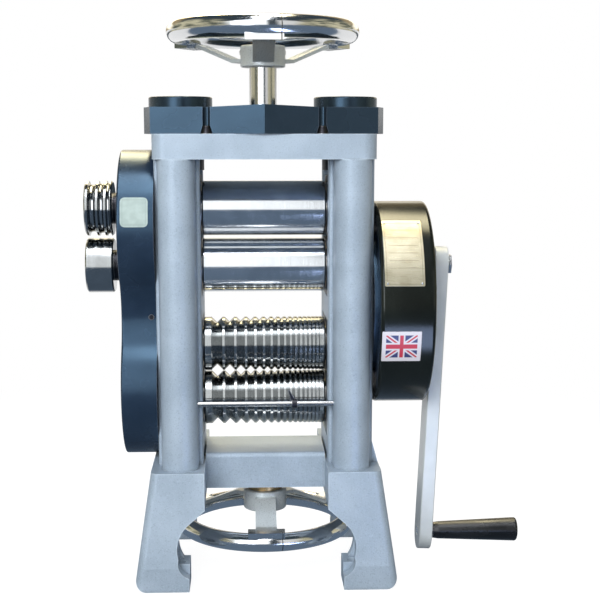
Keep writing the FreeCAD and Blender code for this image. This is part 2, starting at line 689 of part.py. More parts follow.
def cheek_skirt():
    """Sloping web between the right cheek's outer face and the top of its leg."""
    section = [V(CHEEK_OUTER_X, -SKIRT_HALF_DEPTH, LEG_TOP_Z),
               V(LEG_TOP_X, -SKIRT_HALF_DEPTH, LEG_TOP_Z),
               V(CHEEK_OUTER_X, -SKIRT_HALF_DEPTH, LEG_TOP_Z + SKIRT_HEIGHT)]
    return prism(section, V(0, 2 * SKIRT_HALF_DEPTH, 0))


def crosshead():
    block = box(-CHEEK_OUTER_X, CHEEK_OUTER_X, -CROSSHEAD_HALF_DEPTH,
                CROSSHEAD_HALF_DEPTH, CROSSHEAD_BOTTOM_Z, CROSSHEAD_TOP_Z)
    block = rounded(block, CROSSHEAD_CORNER, lambda edge: is_along(edge, V(0, 0, 1)))
    for x in (-SCREW_X, SCREW_X):
        block = block.cut(cylinder_z(NUT_BODY_RADIUS, CROSSHEAD_BOTTOM_Z, CROSSHEAD_TOP_Z, x))
    for place in notch_screw_places():
        block = block.cut(cylinder_z(SCREW_SHANK_RADIUS, CROSSHEAD_TOP_Z - SCREW_LENGTH,
                                     CROSSHEAD_TOP_Z, place.x, place.y))
    shaft_hole = TOP_WHEEL_SHAFT_RADIUS + RUNNING_CLEARANCE
    shaft_foot = CROSSHEAD_TOP_Z - TOP_SHAFT_FOOT - 2 * END_PLAY
    return block.cut(cylinder_z(shaft_hole, shaft_foot, CROSSHEAD_TOP_Z))


def screw_nut():
    """Threaded nut in the crosshead, its flange against the underside."""
    flange = cylinder_z(NUT_FLANGE_RADIUS, CROSSHEAD_BOTTOM_Z - NUT_FLANGE_HEIGHT,
                        CROSSHEAD_BOTTOM_Z, SCREW_X)
    nut = flange.fuse(cylinder_z(NUT_BODY_RADIUS, CROSSHEAD_BOTTOM_Z, CROSSHEAD_TOP_Z, SCREW_X))
    bore = UPPER_SCREW_RADIUS + RUNNING_CLEARANCE
    return nut.cut(cylinder_z(bore, CROSSHEAD_BOTTOM_Z - NUT_FLANGE_HEIGHT, CROSSHEAD_TOP_Z,
                              SCREW_X))


# Gear housing on top of the crosshead

def housing_top_z():
    return CROSSHEAD_TOP_Z + HOUSING_HEIGHT


def housing_plan():
    """Plan view: a blunt point in front and behind, and four cut corners."""
    front = [(-HOUSING_HALF_WIDTH, -HOUSING_SIDE_Y), (-HOUSING_CORNER_X, -HOUSING_END_Y),
             (0, -HOUSING_MIDDLE_Y), (HOUSING_CORNER_X, -HOUSING_END_Y),
             (HOUSING_HALF_WIDTH, -HOUSING_SIDE_Y)]
    corners = front + [(-x, -y) for x, y in front]
    height = HOUSING_HEIGHT + HOUSING_RIDGE
    return prism([V(x, y, CROSSHEAD_TOP_Z) for x, y in corners], V(0, 0, height))


def notch_y():
    share = NOTCH_X / HOUSING_CORNER_X
    return HOUSING_MIDDLE_Y + (HOUSING_END_Y - HOUSING_MIDDLE_Y) * share


def top_gear_housing():
    top = housing_top_z()
    flat_from = SCREW_X - CAP_RADIUS
    front_view = [(-HOUSING_HALF_WIDTH, CROSSHEAD_TOP_Z), (HOUSING_HALF_WIDTH, CROSSHEAD_TOP_Z),
                  (HOUSING_HALF_WIDTH, top), (flat_from, top), (0, top + HOUSING_RIDGE),
                  (-flat_from, top), (-HOUSING_HALF_WIDTH, top)]
    points = [V(x, -HOUSING_MIDDLE_Y, z) for x, z in front_view]
    housing = housing_plan().common(prism(points, V(0, 2 * HOUSING_MIDDLE_Y, 0)))
    roof = top - HOUSING_WALL
    wheel_tip = TOP_WHEEL_TEETH * TOP_MODULE / 2 + TOP_MODULE
    screw_tip = TOP_SCREW_TEETH * TOP_MODULE / 2 + TOP_MODULE
    housing = housing.cut(cylinder_z(wheel_tip, CROSSHEAD_TOP_Z, roof))
    for x in (-SCREW_X, SCREW_X):
        housing = housing.cut(cylinder_z(screw_tip, CROSSHEAD_TOP_Z, top, x))
    bush = TOP_WHEEL_SHAFT_RADIUS + WHEEL_BUSH_WALL
    housing = housing.cut(cylinder_z(bush, roof, top + HOUSING_RIDGE))
    for place in notch_screw_places():
        groove = cylinder_z(NOTCH_RADIUS, CROSSHEAD_TOP_Z, top + HOUSING_RIDGE, place.x, place.y)
        flare = Part.makeCone(CONE_HEAD_RADIUS + FACE_GAP, NOTCH_RADIUS,
                              CONE_HEAD_HEIGHT + FACE_GAP, place)
        housing = housing.cut(groove).cut(flare)
    return housing


def notch_screw_places():
    """Centres of the four notches, on the crosshead's top face."""
    places = []
    for x in (-NOTCH_X, NOTCH_X):
        for side in (-1, 1):
            places.append(V(x, side * (notch_y() + NOTCH_RADIUS - NOTCH_DEPTH), CROSSHEAD_TOP_Z))
    return places


def screw_cap():
    cap = cylinder_z(CAP_RADIUS, housing_top_z(), housing_top_z() + CAP_HEIGHT, SCREW_X)
    top = housing_top_z() + CAP_HEIGHT
    return rounded(cap, CAP_EDGE, lambda edge: abs(edge.CenterOfMass.z - top) < PLACE_TOLERANCE)


# Screws

def upper_screw(x, phase):
    """Pressure screw with its head in the chock's retainer and its gear on top."""
    foot = UPPER_FLAT_Z + CHOCK_HALF_HEIGHT
    gear_low = CROSSHEAD_TOP_Z + TOP_GEAR_LIFT
    gear_high = gear_low + TOP_SCREW_GEAR_HEIGHT
    screw = cylinder_z(SCREW_HEAD_RADIUS, foot, foot + SCREW_HEAD_HEIGHT, x)
    screw = screw.fuse(cylinder_z(UPPER_SCREW_RADIUS, foot, gear_high + SCREW_TOP_STUB, x))
    corners = standard_gear(TOP_SCREW_TEETH, TOP_MODULE, phase)
    return screw.fuse(gear_z(corners, gear_low, gear_high, x))


def screw_retainer():
    """Black collar on the chock that lifts the screw's head."""
    foot = UPPER_FLAT_Z + CHOCK_HALF_HEIGHT
    collar = cylinder_z(RETAINER_RADIUS, foot, foot + RETAINER_HEIGHT, SCREW_X)
    head = cylinder_z(SCREW_HEAD_RADIUS + FACE_GAP, foot, foot + SCREW_HEAD_HEIGHT + FACE_GAP,
                      SCREW_X)
    neck = cylinder_z(UPPER_SCREW_RADIUS + FACE_GAP, foot, foot + RETAINER_HEIGHT, SCREW_X)
    return collar.cut(head).cut(neck)


def lower_screw(x, phase):
    """Screw that pushes the lower wire bearing up from below."""
    head = LOWER_WIRE_Z - CHOCK_HALF_HEIGHT
    screw = cylinder_z(LOWER_SCREW_RADIUS, LOWER_SCREW_GEAR_Z, head, x)
    corners = standard_gear(LOWER_TEETH, LOWER_MODULE, phase)
    gear = gear_z(corners, LOWER_SCREW_GEAR_Z, LOWER_SCREW_GEAR_Z + LOWER_SCREW_GEAR_HEIGHT, x)
    return screw.fuse(gear)


def idler_x():
    return SCREW_X / 2


def idler_gear(x, phase):
    corners = standard_gear(LOWER_TEETH, LOWER_MODULE, phase)
    gear = gear_z(corners, LOWER_GEAR_Z, LOWER_GEAR_Z + LOWER_GEAR_HEIGHT, x)
    journal = cylinder_z(IDLER_JOURNAL_RADIUS, CROSSPIECE_BOTTOM_Z + BLIND_WALL / 2 + END_PLAY,
                         CROSSPIECE_TOP_Z - BLIND_WALL - END_PLAY, x)
    return gear.fuse(journal)


# Handwheels

def spoke(angle, rim_radius, tube_radius):
    """Flat pressed spoke from the hub to a pad under the rim, rim plane at z = 0."""
    rim_z = -tube_radius - SPOKE_THICKNESS / 4
    reach = rim_radius + SPOKE_PAD_LENGTH / 2
    bend_in = WHEEL_HUB_RADIUS + SPOKE_FOOT
    bend_out = rim_radius - SPOKE_PAD_LENGTH
    line = [(WHEEL_HUB_RADIUS / 2, -SPOKE_DROP), (bend_in, -SPOKE_DROP), (bend_out, rim_z),
            (reach, rim_z)]
    low = [V(r, -SPOKE_WIDTH / 2, z - SPOKE_THICKNESS / 2) for r, z in line]
    high = [V(r, -SPOKE_WIDTH / 2, z + SPOKE_THICKNESS / 2) for r, z in reversed(line)]
    bar = prism(low + high, V(0, SPOKE_WIDTH, 0))
    pad = box(rim_radius - SPOKE_PAD_LENGTH / 2, reach, -SPOKE_PAD_WIDTH / 2,
              SPOKE_PAD_WIDTH / 2, rim_z - SPOKE_THICKNESS / 2, rim_z + SPOKE_THICKNESS)
    shape = bar.fuse(pad)
    shape.rotate(V(0, 0, 0), V(0, 0, 1), angle)
    return shape


def handwheel(rim_radius, tube_radius, bore):
    """Wheel with its rim plane at z = 0 and its hub below."""
    wheel = Part.makeTorus(rim_radius, tube_radius)
    hub = cylinder_z(WHEEL_HUB_RADIUS, -WHEEL_HUB_FAR, -WHEEL_HUB_NEAR)
    hub = rounded(hub, WHEEL_HUB_EDGE, lambda edge: edge.Length > WHEEL_HUB_RADIUS * 6)
    for arm in range(SPOKE_COUNT):
        wheel = wheel.fuse(spoke(-90 + 360 * arm / SPOKE_COUNT, rim_radius, tube_radius))
    wheel = wheel.fuse(hub)
    return wheel.cut(cylinder_z(bore, -WHEEL_HUB_FAR, -WHEEL_HUB_NEAR))


def top_handwheel():
    wheel = handwheel(TOP_RIM_RADIUS, TOP_TUBE_RADIUS, TOP_WHEEL_SHAFT_RADIUS)
    wheel.translate(V(0, 0, TOP_RIM_Z))
    return wheel


def bottom_handwheel():
    wheel = handwheel(BOTTOM_RIM_RADIUS, BOTTOM_TUBE_RADIUS, BOTTOM_WHEEL_SHAFT_RADIUS)
    wheel = wheel.mirror(V(0, 0, 0), V(0, 0, 1))
    wheel.translate(V(0, 0, BOTTOM_RIM_Z))
    return wheel


def top_wheel_shaft():
    """Shaft from the top handwheel down into the crosshead, with the middle gear."""
    gear_low = CROSSHEAD_TOP_Z + TOP_WHEEL_GEAR_LIFT
    corners = standard_gear(TOP_WHEEL_TEETH, TOP_MODULE, 0)
    shaft = cylinder_z(TOP_WHEEL_SHAFT_RADIUS, CROSSHEAD_TOP_Z - TOP_SHAFT_FOOT,
                       TOP_RIM_Z - WHEEL_HUB_NEAR)
    return shaft.fuse(gear_z(corners, gear_low, gear_low + TOP_WHEEL_GEAR_HEIGHT, 0))


def bottom_wheel_shaft():
    corners = standard_gear(LOWER_TEETH, LOWER_MODULE, 0)
    shaft = cylinder_z(BOTTOM_WHEEL_SHAFT_RADIUS, BOTTOM_RIM_Z + WHEEL_HUB_NEAR,
                       CROSSPIECE_TOP_Z - BLIND_WALL - END_PLAY)
    return shaft.fuse(gear_z(corners, LOWER_GEAR_Z, LOWER_GEAR_Z + LOWER_GEAR_HEIGHT, 0))


# Left gear case

def waist_centre():
    """Centre (y, z) of the hollow arc that joins the two lobes, on the far side."""
    to_upper = UPPER_LOBE_RADIUS + WAIST_RADIUS
    to_lower = LOWER_LOBE_RADIUS + WAIST_RADIUS
    distance = UPPER_LOBE_Z - LOWER_LOBE_Z
    drop = (to_upper ** 2 - to_lower ** 2 + distance ** 2) / (2 * distance)
    return math.sqrt(to_upper ** 2 - drop ** 2), UPPER_LOBE_Z - drop


def waist_point():
    y, z = waist_centre()
    return y - WAIST_RADIUS, z


def two_lobes(inset):
    """Outline of the left gear case in the YZ plane, a round lobe at each end."""
    upper_radius = UPPER_LOBE_RADIUS - inset
    lower_radius = LOWER_LOBE_RADIUS - inset
    waist = WAIST_RADIUS + inset
    upper, lower = V(0, 0, UPPER_LOBE_Z), V(0, 0, LOWER_LOBE_Z)
    out, waist_z = waist_centre()
    ends = []
    waists = []
    for side in (-1, 1):
        middle = V(0, side * out, waist_z)
        high = upper + (middle - upper) * (upper_radius / (upper_radius + waist))
        low = lower + (middle - lower) * (lower_radius / (lower_radius + waist))
        ends.append((high, low))
        waists.append(Part.Arc(high, middle - V(0, side * waist, 0), low).toShape())
    top = Part.Arc(ends[0][0], V(0, 0, UPPER_LOBE_Z + upper_radius), ends[1][0]).toShape()
    bottom = Part.Arc(ends[0][1], V(0, 0, LOWER_LOBE_Z - lower_radius), ends[1][1]).toShape()
    return Part.Wire([top, waists[1], bottom, waists[0]])


def lobe_solid(inset, x0, x1):
    solid = Part.Face(two_lobes(inset)).extrude(V(x1 - x0, 0, 0))
    solid.translate(V(x0, 0, 0))
    return solid


def left_gear_cover():
    shell = lobe_solid(0, -COVER_OUTER_X, -CHEEK_OUTER_X)
    shell = rounded(shell, COVER_EDGE, lambda edge:
                    abs(edge.CenterOfMass.x + COVER_OUTER_X) < PLACE_TOLERANCE)
    shell = shell.cut(lobe_solid(COVER_WALL, -COVER_OUTER_X + COVER_WALL, -CHEEK_OUTER_X))
    middle = UPPER_FLAT_Z + (UPPER_RISE - FLAT_GAP) / 2
    travel = WIDEST_OPENING / 2 + COVER_HOLE_PLAY
    for z, extra in ((LOWER_FLAT_Z, COVER_HOLE_PLAY), (middle, travel)):
        shell = shell.cut(cylinder_x(OUTER_SHAFT_RADIUS + extra, -COVER_OUTER_X,
                                     -COVER_OUTER_X + COVER_WALL, z))
    return cut_cover_screws(shell)


def cut_cover_screws(shape):
    y, z = waist_point()
    x = -CHEEK_OUTER_X - COVER_SCREW_INSET
    for side in (-1, 1):
        shape = shape.cut(cylinder_y(COVER_SCREW_RADIUS,
                                     side * (y - COVER_LUG_DEPTH + COVER_SCREW_END),
                                     side * (y + COVER_SCREW_END), x, z))
    return shape


def gear_back_plate():
    far = -CHEEK_OUTER_X - BACK_PLATE
    plate = lobe_solid(COVER_WALL + COVER_FIT, far, -CHEEK_OUTER_X)
    travel = WIDEST_OPENING
    for z in (UPPER_FLAT_Z, LOWER_FLAT_Z, UPPER_WIRE_Z, LOWER_WIRE_Z):
        plate = plate.cut(cylinder_x(GEAR_SHAFT_RADIUS + travel, far, -CHEEK_OUTER_X, z))
    y, z = waist_point()
    lug_far = -CHEEK_OUTER_X - 2 * COVER_SCREW_INSET
    outer = y - COVER_WALL - COVER_LUG_GAP
    for low, high in ((-outer, -y + COVER_LUG_DEPTH), (y - COVER_LUG_DEPTH, outer)):
        plate = plate.fuse(box(lug_far, far, low, high, z - COVER_LUG_WIDTH / 2,
                               z + COVER_LUG_WIDTH / 2))
    return cut_cover_screws(plate)


# Gearbox on the right

def drum():
    body = cylinder_x(DRUM_RADIUS, DRUM_NEAR_X, DRUM_FAR_X, DRUM_Z)
    body = rounded(body, DRUM_EDGE, lambda edge: edge.Length > DRUM_RADIUS * 6)
    inner_face = DRUM_FAR_X - DRUM_FACE
    body = body.cut(cylinder_x(DRUM_RADIUS - DRUM_WALL, DRUM_NEAR_X, inner_face, DRUM_Z))
    boss = cylinder_x(LAYSHAFT_RADIUS + 2 * DRUM_BUSH_WALL, inner_face - DRUM_BOSS, inner_face,
                      LAYSHAFT_Z)
    body = body.fuse(boss)
    for y, z in drum_bolt_places():
        body = body.fuse(cylinder_x(DRUM_BOLT_BOSS, DRUM_NEAR_X + DRUM_BACK_WALL, inner_face, z, y))
        body = body.cut(cylinder_x(SCREW_SHANK_RADIUS, DRUM_NEAR_X, DRUM_FAR_X, z, y))
        body = body.cut(drum_bolt_head(y, z))
    body = body.cut(cylinder_x(LAYSHAFT_RADIUS + DRUM_BUSH_WALL, inner_face - DRUM_BOSS,
                               DRUM_FAR_X - BUSH_INSET, LAYSHAFT_Z))
    return body.cut(cylinder_x(CRANK_SHAFT_RADIUS + DRUM_BUSH_WALL, inner_face, DRUM_FAR_X,
                               LOWER_FLAT_Z))


def drum_back_wall():
    inner = DRUM_NEAR_X + DRUM_BACK_WALL
    wall = cylinder_x(DRUM_RADIUS - DRUM_WALL, DRUM_NEAR_X, inner, DRUM_Z)
    wall = wall.fuse(cylinder_x(DRUM_FLANGE_RADIUS, CHEEK_OUTER_X, DRUM_NEAR_X, DRUM_Z))
    for y, z in drum_bolt_places():
        wall = wall.cut(cylinder_x(SCREW_SHANK_RADIUS, DRUM_NEAR_X, inner, z, y))
    hole = DRIVE_SHAFT_RADIUS + DRIVE_HOLE_PLAY
    wall = wall.cut(cylinder_x(hole, CHEEK_OUTER_X, inner, LOWER_FLAT_Z))
    return wall.cut(cylinder_x(LAYSHAFT_RADIUS + DRUM_BUSH_WALL, CHEEK_OUTER_X + BUSH_INSET,
                               inner, LAYSHAFT_Z))


def drum_bushes():
    inner_face = DRUM_FAR_X - DRUM_FACE
    lay_outer = LAYSHAFT_RADIUS + DRUM_BUSH_WALL
    lay_bore = LAYSHAFT_RADIUS + RUNNING_CLEARANCE
    crank_outer = CRANK_SHAFT_RADIUS + DRUM_BUSH_WALL
    crank_bore = CRANK_SHAFT_RADIUS + RUNNING_CLEARANCE
    return [
        ring_x(lay_outer, lay_bore, CHEEK_OUTER_X + BUSH_INSET, DRUM_NEAR_X + DRUM_BACK_WALL,
               LAYSHAFT_Z),
        ring_x(lay_outer, lay_bore, inner_face - DRUM_BOSS, DRUM_FAR_X - BUSH_INSET, LAYSHAFT_Z),
        ring_x(crank_outer, crank_bore, inner_face - BUSH_INSET,
               DRUM_FAR_X + CRANK_BUSH_STANDOUT, LOWER_FLAT_Z),
    ]


def drive_module():
    return 2 * DRIVE_CENTRES / (DRIVE_PINION_TEETH + DRIVE_GEAR_TEETH)


def drive_gear(x0, width, z, phase, bore):
    corners = standard_gear(DRIVE_GEAR_TEETH, drive_module(), phase)
    return gear_x(corners, x0, x0 + width, z).cut(cylinder_x(bore, x0, x0 + width, z))


def pinion(x0, width, z, phase):
    corners = standard_gear(DRIVE_PINION_TEETH, drive_module(), phase)
    return gear_x(corners, x0, x0 + width, z)


def layshaft():
    """Layshaft with the second pinion cut on it."""
    inset = BUSH_INSET + END_PLAY
    shaft = cylinder_x(LAYSHAFT_RADIUS, CHEEK_OUTER_X + inset, DRUM_FAR_X - inset, LAYSHAFT_Z)
    return shaft.fuse(pinion(DRIVE_GEAR_X, DRIVE_GEAR_WIDTH, LAYSHAFT_Z,
                             gap_at(90, DRIVE_PINION_TEETH)))


def crank_shaft():
    """Crank shaft with the first pinion, piloted in the end of the roll's shaft."""
    shaft = cylinder_x(CRANK_SHAFT_RADIUS, CRANK_SHAFT_NEAR_X,
                       CRANK_ARM_X + CRANK_ARM_THICKNESS, LOWER_FLAT_Z)
    pilot = cylinder_x(PILOT_RADIUS, CRANK_SHAFT_NEAR_X - PILOT_LENGTH, CRANK_SHAFT_NEAR_X,
                       LOWER_FLAT_Z)
    return shaft.fuse(pilot).fuse(pinion(CRANK_GEAR_X, CRANK_GEAR_WIDTH, LOWER_FLAT_Z,
                                         gap_at(-90, DRIVE_PINION_TEETH)))


# Crank

def grip_z():
    return LOWER_FLAT_Z - CRANK_RADIUS


def crank_arm_wire():
    """Flat bar with round ends, a little wider at the grip."""
    tilt = math.asin((CRANK_HUB_RADIUS - CRANK_TIP_RADIUS) / CRANK_RADIUS)
    corners = []
    for z, radius in ((LOWER_FLAT_Z, CRANK_HUB_RADIUS), (grip_z(), CRANK_TIP_RADIUS)):
        for side in (-1, 1):
            corners.append(V(CRANK_ARM_X, side * radius * math.cos(tilt),
                             z - radius * math.sin(tilt)))
    high_left, high_right, low_left, low_right = corners
    top = V(CRANK_ARM_X, 0, LOWER_FLAT_Z + CRANK_HUB_RADIUS)
    tip = V(CRANK_ARM_X, 0, grip_z() - CRANK_TIP_RADIUS)
    return Part.Wire([Part.Arc(high_left, top, high_right).toShape(),
                      Part.makeLine(high_right, low_right),
                      Part.Arc(low_right, tip, low_left).toShape(),
                      Part.makeLine(low_left, high_left)])


def crank_arm():
    arm = Part.Face(crank_arm_wire()).extrude(V(CRANK_ARM_THICKNESS, 0, 0))
    arm = arm.makeFillet(CRANK_ARM_EDGE, arm.Edges)
    lean = math.degrees(math.atan(CRANK_ARM_LEAN / CRANK_RADIUS))
    arm.rotate(V(CRANK_ARM_X, 0, LOWER_FLAT_Z), V(0, 1, 0), lean)
    far = CRANK_ARM_X + 2 * CRANK_ARM_THICKNESS
    arm = arm.cut(cylinder_x(CRANK_SHAFT_RADIUS, DRUM_FAR_X, far, LOWER_FLAT_Z))
    return arm.cut(cylinder_x(GRIP_PIN_RADIUS, DRUM_FAR_X - CRANK_ARM_LEAN, far, grip_z()))


def hexagon_x(across, x0, x1, z):
    corners = []
    for corner in range(6):
        angle = math.radians(60 * corner)
        corners.append(V(x0, across * math.cos(angle), z + across * math.sin(angle)))
    return prism(corners, V(x1 - x0, 0, 0))


def crank_nut():
    start = CRANK_ARM_X + CRANK_ARM_THICKNESS
    return hexagon_x(CRANK_NUT_RADIUS, start, start + CRANK_NUT_LENGTH, LOWER_FLAT_Z)


def grip_pin():
    """Pin riveted in the arm; its head holds the free-turning grip."""
    start = CRANK_ARM_X - CRANK_ARM_LEAN
    end = GRIP_FAR_X - GRIP_RECESS + GRIP_PIN_HEAD_LENGTH
    pin = cylinder_x(GRIP_PIN_RADIUS, start, end, grip_z())
    return pin.fuse(cylinder_x(GRIP_PIN_HEAD_RADIUS, end - GRIP_PIN_HEAD_LENGTH + FACE_GAP, end,
                               grip_z()))


def grip():
    """Tapered handle, thicker at its free end."""
    z = grip_z()
    neck = GRIP_NEAR_X + GRIP_NECK
    handle = turned_x([(GRIP_NEAR_X, GRIP_NEAR_RADIUS - GRIP_NECK_STEP),
                       (neck, GRIP_NEAR_RADIUS), (GRIP_FAR_X, GRIP_FAR_RADIUS)], z)
    handle = rounded(handle, GRIP_END_RADIUS, lambda edge: abs(edge.CenterOfMass.x - GRIP_FAR_X)
                     < PLACE_TOLERANCE and edge.Length > GRIP_FAR_RADIUS * 4)
    handle = handle.cut(cylinder_x(GRIP_PIN_RADIUS + RUNNING_CLEARANCE, GRIP_NEAR_X, GRIP_FAR_X, z))
    return handle.cut(cylinder_x(GRIP_PIN_HEAD_RADIUS + FACE_GAP, GRIP_FAR_X - GRIP_RECESS,
                                 GRIP_FAR_X, z))


# Guide

def guide_rod():
    end = CHEEK_X - RIB_RADIUS + GUIDE_SEAT
    return cylinder_x(GUIDE_RADIUS, -end, end, GUIDE_Z, GUIDE_Y)


def guide_finger():
    """Pointed blade, leaning to the left, on a sleeve that slides along the guide rod."""
    x0, x1 = FINGER_X - FINGER_HALF_WIDTH, FINGER_X + FINGER_HALF_WIDTH
    body = cylinder_x(FINGER_BODY_RADIUS, x0, x1, GUIDE_Z, GUIDE_Y)
    near = GUIDE_Y - FINGER_BLADE / 2
    tip_x = x0 - FINGER_TIP_LEAN
    corners = [V(x0, near, GUIDE_Z), V(x1, near, GUIDE_Z),
               V(tip_x + FINGER_TIP_WIDTH, near, GUIDE_Z + FINGER_HEIGHT),
               V(tip_x, near, GUIDE_Z + FINGER_HEIGHT)]
    body = body.fuse(prism(corners, V(0, FINGER_BLADE, 0)))
    return body.cut(cylinder_x(GUIDE_RADIUS + RUNNING_CLEARANCE, tip_x, x1, GUIDE_Z, GUIDE_Y))


# Fasteners

def cone_screw(place):
    """Cone-headed screw that holds the housing down from inside a notch."""
    head = Part.makeCone(CONE_HEAD_RADIUS, NOTCH_RADIUS - FACE_GAP, CONE_HEAD_HEIGHT, place)
    return head.fuse(cylinder_z(SCREW_SHANK_RADIUS, place.z - SCREW_LENGTH, place.z, place.x,
                                place.y))


def drum_bolt_places():
    """Axes of the four long bolts through the drum, clear of the gears inside."""
    reach = DRUM_RADIUS - DRUM_WALL - DRUM_BOLT_BOSS + DRUM_BOLT_BITE
    places = []
    for angle in (-DRUM_BOLT_ANGLE, DRUM_BOLT_ANGLE, 180 - DRUM_BOLT_ANGLE, 180 + DRUM_BOLT_ANGLE):
        turn = math.radians(angle)
        places.append((reach * math.cos(turn), DRUM_Z + reach * math.sin(turn)))
    return places


def drum_bolt_head(y, z):
    """Cap head sunk in the drum's face."""
    return cylinder_x(SCREW_CAP_RADIUS, DRUM_FAR_X - SCREW_CAP_HEIGHT, DRUM_FAR_X, z, y)


def drum_bolt(y, z):
    shank = cylinder_x(SCREW_SHANK_RADIUS, DRUM_NEAR_X + END_PLAY, DRUM_FAR_X, z, y)
    return shank.fuse(drum_bolt_head(y, z))


def cover_screw(side):
    """Small screw through the left cover's waist into a lug of the back plate."""
    y, z = waist_point()
    x = -CHEEK_OUTER_X - COVER_SCREW_INSET
    shank = cylinder_y(COVER_SCREW_RADIUS, side * (y - COVER_LUG_DEPTH + COVER_SCREW_END),
                       side * (y + COVER_SCREW_END), x, z)
    seat = y + COVER_SCREW_SEAT
    head = cylinder_y(2 * COVER_SCREW_RADIUS, side * seat, side * (seat + COVER_SCREW_RADIUS), x, z)
    return shank.fuse(head)


def case_screws():
    screws = [cone_screw(place) for place in notch_screw_places()]
    screws += [drum_bolt(y, z) for y, z in drum_bolt_places()]
    return screws + [cover_screw(-1), cover_screw(1)]


# Assembly

def as_list(shape):
    return shape if isinstance(shape, list) else [shape]


def wheel_bushes():
    top = ring_z(TOP_WHEEL_SHAFT_RADIUS + WHEEL_BUSH_WALL, TOP_WHEEL_SHAFT_RADIUS
                 + RUNNING_CLEARANCE, housing_top_z() - HOUSING_WALL,
                 housing_top_z() + HOUSING_RIDGE)
    hub_top = BOTTOM_RIM_Z + WHEEL_HUB_FAR
    bore = BOTTOM_WHEEL_SHAFT_RADIUS + RUNNING_CLEARANCE
    bottom = ring_z(BOTTOM_WHEEL_SHAFT_RADIUS + WHEEL_BUSH_WALL, bore, CROSSPIECE_BOTTOM_Z,
                    GEAR_CHAMBER_BOTTOM_Z)
    collar = ring_z(LOWER_COLLAR_RADIUS, bore, hub_top + FACE_GAP, CROSSPIECE_BOTTOM_Z)
    return [top, bottom.fuse(collar)]


def fixed_bushes():
    bushes = both_sides(neck_bush(LOWER_FLAT_Z)) + both_sides(neck_bush(UPPER_WIRE_Z))
    return bushes + drum_bushes()


def frame_nodes():
    leg = base_leg()
    cheek = side_frame()
    return {
        "right_base_leg": leg,
        "left_base_leg": mirror_x(leg),
        "crosspiece": crosspiece(),
        "lower_gear_cover": lower_gear_cover(),
        "right_side_frame": cheek.fuse(cheek_skirt()).removeSplitter(),
        "left_side_frame": mirror_x(cheek),
        "crosshead": crosshead(),
        "top_gear_housing": top_gear_housing(),
        "screw_caps": both_sides(screw_cap()),
        "screw_nuts": both_sides(screw_nut()),
        "lower_flat_chocks": both_sides(chock(LOWER_FLAT_Z, LOWER_FLAT_SEAT, CHOCK_HALF_HEIGHT)),
        "upper_wire_chocks": both_sides(chock(UPPER_WIRE_Z, CHOCK_HALF_HEIGHT, UPPER_WIRE_SEAT)),
        "fixed_bushes": fixed_bushes(),
        "wheel_bushes": wheel_bushes(),
        "left_gear_cover": left_gear_cover(),
        "gear_back_plate": gear_back_plate(),
        "gearbox_drum": drum(),
        "gearbox_back_wall": drum_back_wall(),
        "guide_rod": guide_rod(),
        "case_screws": case_screws(),
    }


def carriage_nodes():
    half = CHOCK_HALF_HEIGHT
    return {
        "upper_flat_chocks": both_sides(chock(UPPER_FLAT_Z, half, half)),
        "upper_flat_bushes": both_sides(neck_bush(UPPER_FLAT_Z)),
        "upper_bearing_cap": bearing_cap(UPPER_FLAT_Z, UPPER_CAP_RADIUS),
        "screw_retainers": both_sides(screw_retainer()),
        "lower_wire_chocks": both_sides(chock(LOWER_WIRE_Z, half, half)),
        "lower_wire_bushes": both_sides(neck_bush(LOWER_WIRE_Z)),
        "lower_bearing_cap": bearing_cap(LOWER_WIRE_Z, LOWER_CAP_RADIUS),
    }


def roll_nodes():
    teeth = ROLL_GEAR_TEETH
    return {
        "upper_flat_roll": flat_roll(UPPER_FLAT_Z, False),
        "upper_flat_gear": roll_gear(UPPER_FLAT_Z, gap_at(-90, teeth)),
        "upper_extension_spacer": extension_spacer(UPPER_FLAT_Z),
        "upper_extension_roll": extension_roll(UPPER_FLAT_Z, half_round_profile()),
        "lower_flat_roll": flat_roll(LOWER_FLAT_Z, True),
        "lower_flat_gear": roll_gear(LOWER_FLAT_Z, 90),
        "flat_link_gear": link_gear(LOWER_FLAT_Z, -90),
        "lower_extension_spacer": extension_spacer(LOWER_FLAT_Z),
        "lower_extension_roll": extension_roll(LOWER_FLAT_Z, []),
        "upper_wire_roll": wire_roll(UPPER_WIRE_Z, link_gear_far_x()),
        "upper_wire_gear": roll_gear(UPPER_WIRE_Z, -90),
        "wire_link_gear": link_gear(UPPER_WIRE_Z, gap_at(90, LINK_TEETH)),
        "lower_wire_roll": wire_roll(LOWER_WIRE_Z, roll_gear_far_x()),
        "lower_wire_gear": roll_gear(LOWER_WIRE_Z, gap_at(90, teeth)),
    }


def drive_nodes():
    return {
        "roll_drive_gear": drive_gear(DRIVE_GEAR_X, DRIVE_GEAR_WIDTH, LOWER_FLAT_Z, -90,
                                      DRIVE_SHAFT_RADIUS),
        "layshaft": layshaft(),
        "layshaft_gear": drive_gear(CRANK_GEAR_X, CRANK_GEAR_WIDTH, LAYSHAFT_Z, 90,
                                    LAYSHAFT_RADIUS),
        "crank_shaft": crank_shaft(),
        "crank_arm": crank_arm(),
        "crank_nut": crank_nut(),
        "grip_pin": grip_pin(),
        "crank_grip": grip(),
    }


